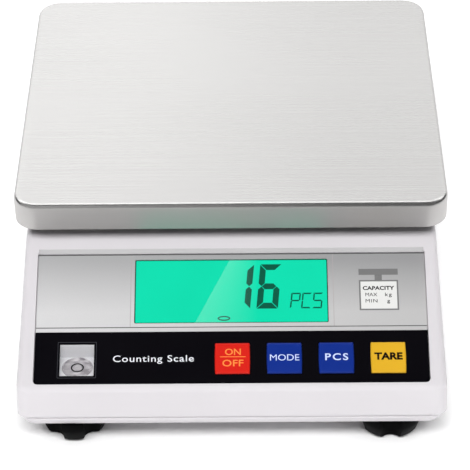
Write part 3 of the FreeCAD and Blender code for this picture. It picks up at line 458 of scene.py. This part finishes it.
# ---- Console overlay -----------------------------------------------------------------------
overlay_low, overlay_high = console_box("console_overlay")
lcd_low, lcd_high = console_box("display_window")
PRINT_STEP = 0.03 * MM       # ink stands this far proud of the film
SEGMENT_LAYER = (-OVERLAY_THICK, -0.74 * MM)     # depths in the display, from its cell up to the window
EDGE_SHADE_LAYER = (-0.75 * MM, -0.60 * MM)
WINDOW_LAYER = (-0.55 * MM, -0.05 * MM)
STRIP_TOP = -46.1 * MM       # the black strip runs from here to the overlay's lower edge
STRIP_CORNER = 2.3 * MM
KEYS = {
    "on_off": ("key_red", ORANGE_INK),
    "mode": ("key_blue", PALE_BLUE_INK),
    "pcs": ("key_blue", PALE_BLUE_INK),
    "tare": ("key_yellow", BROWN_INK),
}
KEY_BULGE = 0.25 * MM        # the cap's left and right sides are this much fuller in the middle
KEY_CORNER = 0.5 * MM
KEY_SKIRT = 1.0 * MM         # the hidden flange is this much wider than the cap on each side
KEY_CLEARANCE = 0.12 * MM


def key_size(key):
    """Middle, half width, half depth and top of a keycap on the console."""
    low, high = console_box("keycap_" + key)
    half = (high - low) / 2
    return centre_of((low, high)), half.x - KEY_SKIRT, half.y - KEY_SKIRT, high.z


def key_outline(key, grow=0.0):
    """Barrel-sided outline of a keycap about its own middle."""
    _, half_x, half_y, _ = key_size(key)
    return rounded_rect(half_x - KEY_BULGE + grow, half_y + grow, KEY_CORNER, 6, KEY_BULGE, 8)


def overlay_sheets():
    """Silver upper field and black lower strip of the printed overlay film."""
    x0, y0, x1 = overlay_low.x, overlay_low.y, overlay_high.x
    window = rectangle(lcd_low.x, lcd_low.y, lcd_high.x, lcd_high.y, 0.8 * MM)
    silver = [(x0, STRIP_TOP), (x1, STRIP_TOP), (x1, 0.0), (x0, 0.0)]
    mesh = plate([silver, window], -OVERLAY_THICK, 0.0)
    add_piece("overlay_silver", mesh, "base", "overlay_print", replaces=["console_overlay"])
    black = [(x1, STRIP_TOP), (x0, STRIP_TOP)]
    low_y = y0 + STRIP_CORNER
    for centre_x, start in ((x0 + STRIP_CORNER, 180), (x1 - STRIP_CORNER, 270)):
        for step in range(9):
            angle = math.radians(start + 90 * step / 8)
            black.append((centre_x + STRIP_CORNER * math.cos(angle), low_y + STRIP_CORNER * math.sin(angle)))
    holes = [place_loop(key_outline(key, KEY_CLEARANCE), key_size(key)[0]) for key in KEYS]
    holes.append(level_window(0.0))
    mesh = plate([black] + holes, -OVERLAY_THICK, 0.0)
    add_piece("overlay_black", mesh, "base", "overlay_print", BLACK_PRINT)


LEVEL_HALF = 9.1 * MM        # half the side of the level's square window
LEVEL_MIDDLE = -62.2 * MM
LEVEL_X = centre_of(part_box("level_vial")).x


def level_window(grow):
    """Loop of the level's square window, grown by a margin."""
    half = LEVEL_HALF + grow
    return rectangle(LEVEL_X - half, LEVEL_MIDDLE - half, LEVEL_X + half, LEVEL_MIDDLE + half, 0.4 * MM)


def overlay_lines():
    """Rules printed across the overlay, the square round the level, and a thin dark frame round the display,
    painted shade along its window's edge.
    """
    x0, x1 = overlay_low.x + 0.1 * MM, overlay_high.x - 0.1 * MM
    foot, head = STRIP_TOP + 2.9 * MM, -0.8 * MM
    rules = {
        "rule_top": (rectangle(x0, -0.75 * MM, x1, -0.1 * MM), DARK_LINE),
        "rule_lower": (rectangle(x0, foot - 0.6 * MM, x1, foot - 0.1 * MM), DARK_LINE),
        "rule_left": (rectangle(lcd_low.x - 2.25 * MM, foot, lcd_low.x - 1.9 * MM, head), RULE_INK),
        "rule_right": (rectangle(lcd_high.x + 2.7 * MM, foot, lcd_high.x + 3.05 * MM, head), RULE_INK),
    }
    for name, (loop, ink) in rules.items():
        add_piece(name, plate([loop], 0, PRINT_STEP), "base", "overlay_print", ink)
    square = [level_window(1.25 * MM), level_window(1.0 * MM)]
    add_piece("level_outline", plate(square, 0, PRINT_STEP), "base", "overlay_print", FAINT_INK)
    # painted shade: a dark green frame along the display window's edge, thinnest at the top
    outer = rectangle(lcd_low.x, lcd_low.y, lcd_high.x, lcd_high.y, 0.7 * MM)
    inner = rectangle(lcd_low.x + 0.6 * MM, lcd_low.y + 0.65 * MM,
                      lcd_high.x - 0.55 * MM, lcd_high.y - 0.4 * MM, 0.4 * MM)
    add_piece("display_edge_shade", plate([outer, inner], *EDGE_SHADE_LAYER), "base", "lcd_cell", SEGMENT)


def pocket_shade_strip():
    """Grey sheet along the sloping wall at the pocket's top edge, painted shade where that wall lies in
    shadow.
    """
    half = overlay_high.x - 0.4 * MM
    near, far = 0.3 * MM, 2.4 * MM               # up the slope from the overlay's top edge
    section = [(near, 0.02 * MM), (far, 1.55 * MM), (far, 1.58 * MM), (near, 0.07 * MM)]
    rings = [[(x, y, z) for y, z in section] for x in (-half, -half / 3, half / 3, half)]
    add_piece("pocket_shade_strip", finish_mesh(loft(rings, CONSOLE)), "base", "housing_plastic", STRIP_PAINTED_SHADE)


def display_glass():
    """Clear window over the display."""
    gap = 0.02 * MM
    loop = rectangle(lcd_low.x + gap, lcd_low.y + gap, lcd_high.x - gap, lcd_high.y - gap, 0.7 * MM)
    window = plate([loop], *WINDOW_LAYER)
    add_piece("window_sheet", window, "base", "clear_window", replaces=["display_window"])


# ---- Lettering and the display's characters ------------------------------------------------
LETTER_STRETCH = 1.22


def text_mesh(text, size, spacing, weight, thick):
    """Flat word about its own middle; weight thickens its strokes."""
    curve = bpy.data.curves.new("text", "FONT")
    curve.body = text
    curve.size = size
    curve.space_character = spacing
    curve.align_x = "CENTER"
    curve.offset = weight
    curve.extrude = thick / 2
    curve.resolution_u = 4
    return curve_mesh(curve)


def extent(mesh):
    """Least and greatest x, then least and greatest y."""
    xs = [vertex.co.x for vertex in mesh.vertices]
    ys = [vertex.co.y for vertex in mesh.vertices]
    return min(xs), max(xs), min(ys), max(ys)


def legend(name, text, centre_x, baseline, cap_height, width, body, slot, ink, height=0.0, weight=0.0):
    """Word printed on the console, its letters widened and then spaced out to the given width."""
    thick = 2 * PRINT_STEP
    unit = extent(text_mesh("H", 1.0, 1.0, 0.0, 0.0))
    size = cap_height / (unit[3] - unit[2])
    tight = extent(text_mesh(text, size, 1.0, weight * size, thick))
    stretch = min(LETTER_STRETCH, max(1.0, width / (tight[1] - tight[0])))
    loose = extent(text_mesh(text, size, 1.5, weight * size, thick))
    growth = (loose[1] - loose[0]) - (tight[1] - tight[0])
    spacing = 1.0 + 0.5 * (width / stretch - (tight[1] - tight[0])) / growth
    mesh = text_mesh(text, size, spacing, weight * size, thick)
    left, right, _, _ = extent(mesh)
    middle = stretch * (left + right) / 2
    shift = Matrix.Translation((centre_x - middle, baseline, height + PRINT_STEP * 0.5))
    mesh.transform(CONSOLE @ shift @ Matrix.Diagonal((stretch, 1, 1, 1)))
    add_piece(name, finish_mesh(mesh, 30.0), body, slot, ink)


def segments(width, height, across, up, gap):
    """The seven bars of a digit in its own upright cell, by their usual letters."""
    def flip_x(points):
        return [(width - x, y) for x, y in points]

    def flip_y(points):
        return [(x, height - y) for x, y in points]

    middle, half = height / 2, up / 2
    left_upper = [(0, height - gap), (across, height - up - gap), (across, middle + half + gap / 2),
                  (across / 2, middle + gap / 2), (0, middle + half + gap / 2)]
    top = [(gap, height), (width - gap, height), (width - across - gap, height - up),
           (across + gap, height - up)]
    bar = [(across / 2 + gap, middle), (across + gap, middle + half), (width - across - gap, middle + half),
           (width - across / 2 - gap, middle), (width - across - gap, middle - half),
           (across + gap, middle - half)]
    return {"a": top, "d": flip_y(top), "g": bar, "f": left_upper, "b": flip_x(left_upper),
            "e": flip_y(left_upper), "c": flip_x(flip_y(left_upper))}


CHARACTERS = {"1": "bc", "6": "acdefg", "P": "abefg", "C": "adef", "S": "acdfg"}


def on_display(x, y):
    """Console place of a point in millimetres from the middle of the window's lower edge."""
    return (lcd_low.x + lcd_high.x) / 2 + x * MM, lcd_low.y + y * MM


def display_word(name, word, start, cell, pitch, bars, gap, slant):
    """Slanted segment characters on the display, from their low left corner, in millimetres."""
    shapes = segments(*cell, *bars, gap)
    loops = []
    for i, character in enumerate(word):
        left = start[0] + pitch * i
        for letter in CHARACTERS[character]:
            loops.append([on_display(left + x + slant * y, start[1] + y) for x, y in shapes[letter]])
    add_piece(name, plate(loops, *SEGMENT_LAYER), "base", "lcd_cell", SEGMENT)


def display_characters():
    """The count, its unit and the small zero mark under them."""
    display_word("display_count", "16", (-1.55, 8.55), (11.6, 26.3), 14.95, (3.3, 3.4), 0.26, 0.091)
    display_word("display_unit", "PCS", (31.4, 8.55), (5.2, 9.2), 6.0, (0.78, 0.8), 0.12, 0.108)
    x, y = on_display(-4.0, 2.95)
    loops = [ellipse(x, y, 3.4 * MM, 1.4 * MM), ellipse(x, y, 2.6 * MM, 0.72 * MM)]
    add_piece("display_zero_mark", plate(loops, *SEGMENT_LAYER), "base", "lcd_cell", SEGMENT)


# Words on the capacity sign: middle from the sign's own, baseline, capital height and width in mm,
# then stroke weight. A lone letter takes a space, so that it can be spaced like a word.
SIGN_MIDDLE = overlay_high.x - 25.3 * MM
SIGN_WORDS = (
    ("capacity_word", "CAPACITY", -0.1, -22.3, 2.1, 17.0, 0.03),
    ("capacity_most", "MAX", -4.1, -26.1, 2.0, 6.4, 0.0),
    ("capacity_kilograms", "kg", 5.1, -26.1, 2.0, 3.6, 0.01),
    ("capacity_least", "MIN", -4.1, -29.8, 2.0, 6.4, 0.0),
    ("capacity_grams", "g ", 5.1, -29.8, 2.0, 1.6, 0.01),
)


def capacity_symbol():
    """Small drawing of a pan on a post over a framed panel with generic unit names."""
    left, right = SIGN_MIDDLE - 10.6 * MM, SIGN_MIDDLE + 10.6 * MM
    post_left, post_right = SIGN_MIDDLE - 2.0 * MM, SIGN_MIDDLE + 1.9 * MM
    top, bar, frame_top, bottom = -9.8 * MM, -13.4 * MM, -16.5 * MM, -34.3 * MM
    border = 0.85 * MM
    panel_step = PRINT_STEP * 0.6
    outline = [(left, top), (left, bar), (post_left, bar), (post_left, frame_top), (left, frame_top),
               (left, bottom), (right, bottom), (right, frame_top), (post_right, frame_top),
               (post_right, bar), (right, bar), (right, top)]
    inside = rectangle(left + border, bottom + border, right - border, frame_top - border)
    add_piece("capacity_symbol", plate([outline, inside], 0, PRINT_STEP), "base", "overlay_print", GREY_INK)
    add_piece("capacity_panel", plate([inside], 0, panel_step), "base", "overlay_print", PALE_PANEL)
    for name, text, x, y, cap, width, weight in SIGN_WORDS:
        legend(name, text, SIGN_MIDDLE + x * MM, y * MM, cap * MM, width * MM, "base", "overlay_print",
               BLACK_INK, panel_step, weight)


# ---- Keys ----------------------------------------------------------------------------------
def keycap(key):
    """Cap with a crisp bevel all round and a faintly crowned top."""
    slot, _ = KEYS[key]
    centre, _, _, top = key_size(key)
    outline = key_outline(key)
    bevel, crown = 0.5 * MM, 0.08 * MM
    shoulder = top - crown
    rings = []
    for depth in (3.9 * MM, 1.1 * MM, bevel + 0.08 * MM):
        rings.append([(p.x, p.y, shoulder - depth) for p, _ in outline])
    for inset, drop in ((0.05, 0.92), (0.92, 0.05), (1.08, 0.0)):
        rings.append([(p.x - out.x * bevel * inset, p.y - out.y * bevel * inset, shoulder - bevel * drop)
                      for p, out in outline])
    for share in (0.85, 0.6, 0.35, 0.1):
        rise = shoulder + crown * (1 - share ** 2)
        rings.append([((p.x - out.x * bevel) * share, (p.y - out.y * bevel) * share, rise)
                      for p, out in outline])
    mesh = loft(rings, CONSOLE @ Matrix.Translation((centre.x, centre.y, 0)))
    add_piece("cap_" + key, finish_mesh(mesh, 25.0), "key_" + key, slot, replaces=["keycap_" + key])


# Words on the keys: baseline's middle from the key's own, capital height and width in mm, stroke weight.
KEY_WORDS = (
    ("legend_on", "ON", "on_off", (0.3, 1.8), 3.5, 8.4, 0.012),
    ("legend_off", "OFF", "on_off", (0.3, -4.7), 3.6, 11.2, 0.012),
    ("legend_mode", "MODE", "mode", (0.15, -1.6), 3.5, 15.6, 0.0),
    ("legend_pcs", "PCS", "pcs", (0.15, -1.5), 3.7, 12.2, 0.014),
    ("legend_tare", "TARE", "tare", (0.05, -1.3), 3.7, 15.0, 0.045),
)
LEGEND_SINK = 0.02 * MM      # legends start this far below the highest point of the crown


def key_legends():
    """Words on the keys, the bar between ON and OFF, and the title on the strip."""
    for name, text, key, (x, y), cap, width, weight in KEY_WORDS:
        slot, ink = KEYS[key]
        middle, _, _, top = key_size(key)
        legend(name, text, middle.x + x * MM, middle.y + y * MM, cap * MM, width * MM, "key_" + key, slot,
               ink, top - LEGEND_SINK, weight)
    middle, _, _, top = key_size("on_off")
    bar = rectangle(middle.x - 6.55 * MM, middle.y + 0.5 * MM, middle.x + 7.05 * MM, middle.y + 0.9 * MM)
    mesh = plate([bar], top - LEGEND_SINK, top - LEGEND_SINK + PRINT_STEP * 1.5)
    add_piece("legend_bar", mesh, "key_on_off", "key_red", ORANGE_INK)
    legend("legend_title", "Counting Scale", -41.5 * MM, -63.4 * MM, 3.6 * MM, 43.0 * MM, "base",
           "overlay_print", WHITE_INK, weight=0.004)


# ---- Pan -----------------------------------------------------------------------------------
def pan_shell():
    """Steel tray: a flat top, tight bends and a turned-down edge, as one sheet of even thickness."""
    low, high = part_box("weighing_pan")
    middle = centre_of((low, high))
    half = (high - low) / 2
    sheet, bend, corner = 1.0 * MM, 2.8 * MM, 13.0 * MM
    profile = []
    for step in range(11):
        angle = math.radians(90 * step / 10)
        profile.append((bend * (1 - math.sin(angle)), high.z - bend * (1 - math.cos(angle)), bend * angle))
    wall = high.z - bend - low.z
    run = bend * math.pi / 2
    lip = sheet / 2
    for step in range(7):
        angle = math.radians(180 * step / 6)
        inset, z = lip - lip * math.cos(angle), low.z + lip - lip * math.sin(angle)
        profile.append((inset, z, run + wall))
    inner = bend - sheet
    for step in range(9):
        angle = math.radians(90 - 90 * step / 8)
        inset, z = bend - inner * math.sin(angle), high.z - bend + inner * math.cos(angle)
        profile.append((inset, z, inner * angle))
    rings, unrolled = [], []
    for inset, z, walk in profile:
        outline = rounded_rect(half.x - inset, half.y - inset, corner - inset, 14)
        flat = rounded_rect(half.x - bend, half.y - bend, corner - bend, 14)
        rings.append([(p.x + middle.x, p.y + middle.y, z) for p, _ in outline])
        unrolled.append([(p.x + out.x * walk, p.y + out.y * walk) for p, out in flat])
    mesh = finish_mesh(loft(rings, uv=unrolled), 50.0)
    add_piece("pan_shell", mesh, "pan", "stainless_pan", replaces=["weighing_pan"])


# ---- Feet ----------------------------------------------------------------------------------
KNOB_LOBES = 5
LOBE_STEPS = 40
SCALLOP_RADIUS = 5.5 * MM
SCALLOP_MIDDLE = 18.5 * MM   # from the knob's axis to the middle of a scallop's arc
LOBE_ROUNDING = 0.22 * MM
KNOB_LEVELS = ((0.0, 9.4), (0.1, 15.4), (0.4, 16.1), (1.0, 16.6), (7.4, 18.7), (8.4, 18.95), (12.2, 18.95),
               (12.9, 18.7), (13.3, 18.1), (13.4, 9.4))      # height and radius in mm
KNOB_PHASE = {"front_left": 0.5, "front_right": 0.0, "back_left": 0.0, "back_right": 0.5}   # in lobes


def knob_reach(radius, angle):
    """Distance from the knob's axis to its lobed outline, one scallop lying at angle zero."""
    pitch = 2 * math.pi / KNOB_LOBES
    off = (angle + pitch / 2) % pitch - pitch / 2
    aside = SCALLOP_MIDDLE * math.sin(off)
    if abs(aside) < SCALLOP_RADIUS:
        scallop = SCALLOP_MIDDLE * math.cos(off) - math.sqrt(SCALLOP_RADIUS ** 2 - aside ** 2)
    else:
        scallop = SCALLOP_MIDDLE + 40 * (abs(aside) - SCALLOP_RADIUS)
    least = min(radius, scallop)
    near = math.exp((least - radius) / LOBE_ROUNDING) + math.exp((least - scallop) / LOBE_ROUNDING)
    return least - LOBE_ROUNDING * math.log(near)


def knob(corner):
    """Lobed hand wheel that widens upwards, with rounded shoulders."""
    node = "foot_knob_" + corner
    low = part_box(node)[0]
    middle = centre_of(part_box("foot_stud_" + corner))
    phase = 2 * math.pi * KNOB_PHASE[corner] / KNOB_LOBES
    count = KNOB_LOBES * LOBE_STEPS
    rings = []
    for rise, radius in KNOB_LEVELS:
        ring = []
        for i in range(count):
            turn = 2 * math.pi * i / count
            reach = knob_reach(radius * MM, turn + phase)
            angle = turn - math.pi / 2
            x, y = middle.x + reach * math.cos(angle), middle.y + reach * math.sin(angle)
            ring.append((x, y, low.z + rise * MM))
        rings.append(ring)
    mesh = finish_mesh(loft(rings), 35.0)
    add_piece("knob_" + corner, mesh, "foot_screw_" + corner, "black_plastic", replaces=[node])


# ---- Bubble level --------------------------------------------------------------------------
def turned(profile, x, y, count=48):
    """Solid of revolution about an upright axis, from (radius, height) points."""
    rings = []
    for radius, z in profile:
        rings.append([(px, py, z) for px, py in ellipse(x, y, radius, radius, count)])
    return loft(rings)


def bubble_level():
    """Round spirit level: a pale cup of liquid with a raised rim, a ring mark and the bubble in it."""
    low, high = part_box("level_vial")
    middle = centre_of((low, high))
    x, y, top = middle.x, middle.y, high.z
    radius = high.x - middle.x
    rim, edge = 0.9 * MM, 0.3 * MM
    liquid = top - 0.5 * MM
    body = [(0.3 * radius, low.z), (radius, low.z), (radius, top - edge), (radius - edge, top),
            (radius - rim, top), (radius - rim - 0.1 * MM, liquid), (0.2 * MM, liquid + 0.12 * MM)]
    add_piece("level_body", finish_mesh(turned(body, x, y)), "base", "clear_vial", MATERIALS["level_liquid"],
              replaces=["level_vial"])
    ring = [ellipse(x, y, reach, reach, 48) for reach in (3.5 * MM, 2.75 * MM)]
    mark = plate(ring, liquid, liquid + 0.2 * MM, Matrix.Identity(4))
    add_piece("level_ring", mark, "base", "clear_vial", BLACK_INK)
    width, height = 1.9 * MM, 0.25 * MM
    dome = []
    for step in range(9):
        angle = math.radians(-88 + 176 * step / 8)
        dome.append((width * math.cos(angle), liquid + 0.1 * MM + height * math.sin(angle)))
    bubble = finish_mesh(turned(dome, x + 0.3 * MM, y + 0.2 * MM))
    add_piece("level_bubble", bubble, "base", "level_liquid", BUBBLE)
    cover = plate([level_window(-0.1 * MM)], -0.5 * MM, -0.1 * MM)
    add_piece("level_cover", cover, "base", "clear_window")


# ---- CAD nodes that show as they are -------------------------------------------------------
def dress_frame():
    """Every carried-over node gets the finish of its own slot."""
    for node in nodes.values():
        for holder in node.material_slots:
            name = holder.material.name.split(".")[0]
            if name in MATERIALS:
                holder.link = "OBJECT"
                holder.material = MATERIALS[name]


# ---- Studio --------------------------------------------------------------------------------
AMBIENT = 0.22
REFLECTED_PEAK = 4.6
# Share of that peak which the reflected surround has at each angle: 0 is level behind, 90 overhead.
REFLECTED = ((0, 0.34), (22, 0.36), (31, 0.47), (36, 0.42), (43, 0.27), (55, 0.27), (60, 0.92), (73, 0.92),
             (79, 0.10), (84, 0.01), (102, 0.01), (112, 0.10), (150, 0.10), (180, 0.10))
REFLECTED_FROM = 0.09        # height on the scale that those angles are taken from
FRONT_DIMMING = (1.3, 0.5)   # the surround in front grows darker from left to right
CARD_HEIGHT = 1.0
CARD_EDGE = ((-73.5, -7.5), (-143.5, -46.5))     # y and x of the ends of its slanting edge, in mm
CARD_RIGHT = 18 * MM
GLOW_AROUND = 0.30           # painted light of the floor round the scale, and the extra beside it
GLOW_BESIDE = 0.36


def stage_piece(name, mesh, material, unseen_by):
    """Puts a piece of the studio in the scene and hides it from the named kinds of ray."""
    mesh.materials.append(material)
    piece = bpy.data.objects.new(name, mesh)
    bpy.context.scene.collection.objects.link(piece)
    for ray in unseen_by:
        setattr(piece, "visible_" + ray, False)


ALL_BUT_GLOSSY = ("camera", "diffuse", "transmission", "shadow")
ALL_BUT_CAMERA = ("diffuse", "glossy", "transmission", "shadow")


def studio_world():
    """Dim even surround."""
    world = bpy.data.worlds.new("studio")
    bpy.context.scene.world = world
    world.use_nodes = True
    background = world.node_tree.nodes["Background"]
    background.inputs["Color"].default_value = (AMBIENT, AMBIENT, AMBIENT * 1.01, 1)


def tunnel_finish():
    """Light of the reflected surround: bright behind, brighter above that, dark overhead and in front."""
    finish = Finish("reflected_surround")
    rise = finish.compute("SUBTRACT", finish.position("Z"), REFLECTED_FROM)
    turn = finish.compute("ARCTAN2", rise, finish.position("Y"))
    ramp = finish.add("ValToRGB", {"Fac": finish.spread(turn, 0.0, 1.0, 0.0, math.pi)})
    elements = ramp.color_ramp.elements
    elements.remove(elements[-1])
    for i, (angle, level) in enumerate(REFLECTED):
        stop = elements[0] if i == 0 else elements.new(angle / 180)
        stop.position = angle / 180
        stop.color = (level, level, level, 1)
    sideways = finish.spread(finish.position("X"), 1.08, 0.90, -0.2, 0.2)
    dimmer = finish.spread(finish.position("X"), *FRONT_DIMMING, -0.15, 0.15)
    in_front = finish.spread(turn, 0.0, 1.0, math.radians(96), math.radians(110))
    dimmer = finish.add("Mix", {0: in_front, 2: 1.0, 3: dimmer}, data_type="FLOAT").outputs[0]
    power = finish.compute("MULTIPLY", sideways, REFLECTED_PEAK)
    power = finish.compute("MULTIPLY", power, dimmer)
    finish.material.cycles.emission_sampling = "NONE"
    return finish.surface(finish.add("Emission", {"Color": ramp.outputs["Color"], "Strength": power}))


def reflected_tunnel():
    """Arch over the scale from side to side, seen only in its reflections."""
    half_width, steps = 2.4, 72
    middle_y, half_depth, height, foot = 0.7, 1.3, 1.8, 0.003
    verts = []
    for i in range(steps + 1):
        turn = math.pi * i / steps
        for x in (-half_width, half_width):
            verts.append((x, middle_y + half_depth * math.cos(turn), foot + height * math.sin(turn)))
    mesh = bpy.data.meshes.new("tunnel")
    mesh.from_pydata(verts, [], [[2 * i, 2 * i + 1, 2 * i + 3, 2 * i + 2] for i in range(steps)])
    stage_piece("tunnel", mesh, tunnel_finish(), ALL_BUT_GLOSSY)


def card_finish():
    """Clear film whose light fades from left to right."""
    finish = Finish("card_glow")
    place = finish.add("TexCoord").outputs["UV"]
    across = finish.add("SeparateXYZ", {"Vector": place}).outputs["X"]
    level = finish.spread(across, 1.05, 0.0, 0.0, 1.0)
    glow = finish.add("Emission", {"Color": (1, 1, 1, 1), "Strength": level})
    clear = finish.add("BsdfTransparent", {"Color": (1, 1, 1, 1)})
    finish.material.cycles.emission_sampling = "NONE"
    return finish.surface(finish.add("AddShader", {0: glow.outputs[0], 1: clear.outputs[0]}))


def reflected_card():
    """Small lit card overhead whose slanting edge shows in the display's window and fades to the right."""
    columns = 10
    verts, places = [], []
    for y, left in CARD_EDGE:
        for i in range(columns + 1):
            x = left * MM + (CARD_RIGHT - left * MM) * i / columns
            verts.append((x, y * MM, CARD_HEIGHT))
            places.append((i / columns, 0.0))
    faces = [[i, i + 1, columns + 2 + i, columns + 1 + i] for i in range(columns)]
    mesh = bpy.data.meshes.new("card")
    mesh.from_pydata(verts, [], faces)
    layer = mesh.uv_layers.new(name="across")
    for loop in mesh.loops:
        layer.data[loop.index].uv = places[loop.vertex_index]
    stage_piece("card", mesh, card_finish(), ALL_BUT_GLOSSY)


def floor_finish():
    """Pale floor with painted light: it glows everywhere but under the scale, which leaves a painted shadow
    there, and glows more beside it.
    """
    finish = Finish("floor_pale")
    patch = finish.spread(finish.noise(3.0, 3.0), 0.0, 1.0)
    tone = finish.blend(patch, (0.90, 0.90, 0.90, 1), (0.93, 0.93, 0.93, 1))
    # painted shadow: the glow fades out towards the scale's footprint and is gone under it
    outside = []
    for axis, margin in (("X", cad_high[0] - 20 * MM), ("Y", cad_high[1] - 9 * MM)):
        size = finish.compute("ABSOLUTE", finish.position(axis))
        outside.append(finish.compute("SUBTRACT", size, margin))
    away = finish.compute("MAXIMUM", *outside)
    around = finish.spread(away, 0.0, GLOW_AROUND, 0.0, 26 * MM)
    beside = finish.spread(outside[0], 0.0, GLOW_BESIDE, 16 * MM, 50 * MM)
    return finish.principled({"Base Color": tone, "Roughness": 0.85, "Specular IOR Level": 0.1,
                              "Emission Color": (1, 1, 1, 1),
                              "Emission Strength": finish.compute("ADD", around, beside)})


def backdrop_finish():
    """Pale wall that gives its own light."""
    finish = Finish("backdrop_pale")
    patch = finish.spread(finish.noise(2.0, 2.0), 0.0, 1.0)
    tone = finish.blend(patch, (0.96, 0.96, 0.96, 1), (1.0, 1.0, 1.0, 1))
    return finish.surface(finish.add("Emission", {"Color": tone, "Strength": 1.0}))


def floor_and_backdrop():
    """Round pale floor with a pale wall standing round it, which only the camera sees."""
    radius, height, count = 3.2, 3.0, 96
    circle = ellipse(0.0, 0.0, radius, radius, count)
    floor = bpy.data.meshes.new("floor")
    floor.from_pydata([(x, y, 0) for x, y in circle], [], [list(range(count))])
    stage_piece("floor", floor, floor_finish(), ())
    wall = bpy.data.meshes.new("wall")
    verts = [(x, y, 0) for x, y in circle] + [(x, y, height) for x, y in circle]
    faces = [[i, (i + 1) % count, count + (i + 1) % count, count + i] for i in range(count)]
    wall.from_pydata(verts, [], faces)
    stage_piece("backdrop", wall, backdrop_finish(), ALL_BUT_CAMERA)


def key_light():
    """One wide, low softbox high in front, which reflections leave out."""
    distance, height_angle = 2.0, math.radians(58)
    place = Vector((-0.10, -distance * math.cos(height_angle), distance * math.sin(height_angle)))
    target = Vector((0, -0.05, 0.04))
    light = bpy.data.lights.new("light_key", "AREA")
    light.shape = "RECTANGLE"
    light.size = 2.6
    light.size_y = 0.6
    light.energy = 43.0
    lamp = bpy.data.objects.new("light_key", light)
    lamp.location = place
    lamp.rotation_euler = (target - place).to_track_quat("-Z", "Y").to_euler()
    lamp.visible_glossy = False
    bpy.context.scene.collection.objects.link(lamp)


def camera():
    """Seen from the front, 38 degrees above the horizon, with a long lens."""
    data = bpy.data.cameras.new("camera")
    data.lens = 159.3
    data.sensor_width = 36.0
    data.clip_start = 0.05
    data.clip_end = 30.0
    seen_from = Vector((0.0093, -0.9544, 0.7778))
    pitch, yaw, roll = (math.radians(angle) for angle in (38.0, -0.46, -0.69))
    forward = Vector((math.sin(yaw) * math.cos(pitch), math.cos(yaw) * math.cos(pitch), -math.sin(pitch)))
    level = Vector((math.cos(yaw), -math.sin(yaw), 0))
    upright = level.cross(forward)
    right = level * math.cos(roll) + upright * math.sin(roll)
    up = upright * math.cos(roll) - level * math.sin(roll)
    turn = Matrix((right, up, -forward)).transposed()
    viewer = bpy.data.objects.new("camera", data)
    viewer.matrix_world = Matrix.Translation(seen_from) @ turn.to_4x4()
    bpy.context.scene.collection.objects.link(viewer)
    bpy.context.scene.camera = viewer


camera()
dress_frame()
overlay_sheets()
overlay_lines()
pocket_shade_strip()
display_glass()
display_characters()
capacity_symbol()
for key in KEYS:
    keycap(key)
key_legends()
pan_shell()
for corner in ("front_left", "front_right", "back_left", "back_right"):
    knob(corner)
bubble_level()
studio_world()
floor_and_backdrop()
reflected_tunnel()
reflected_card()
key_light()
bpy.context.scene.view_settings.view_transform = "Standard"
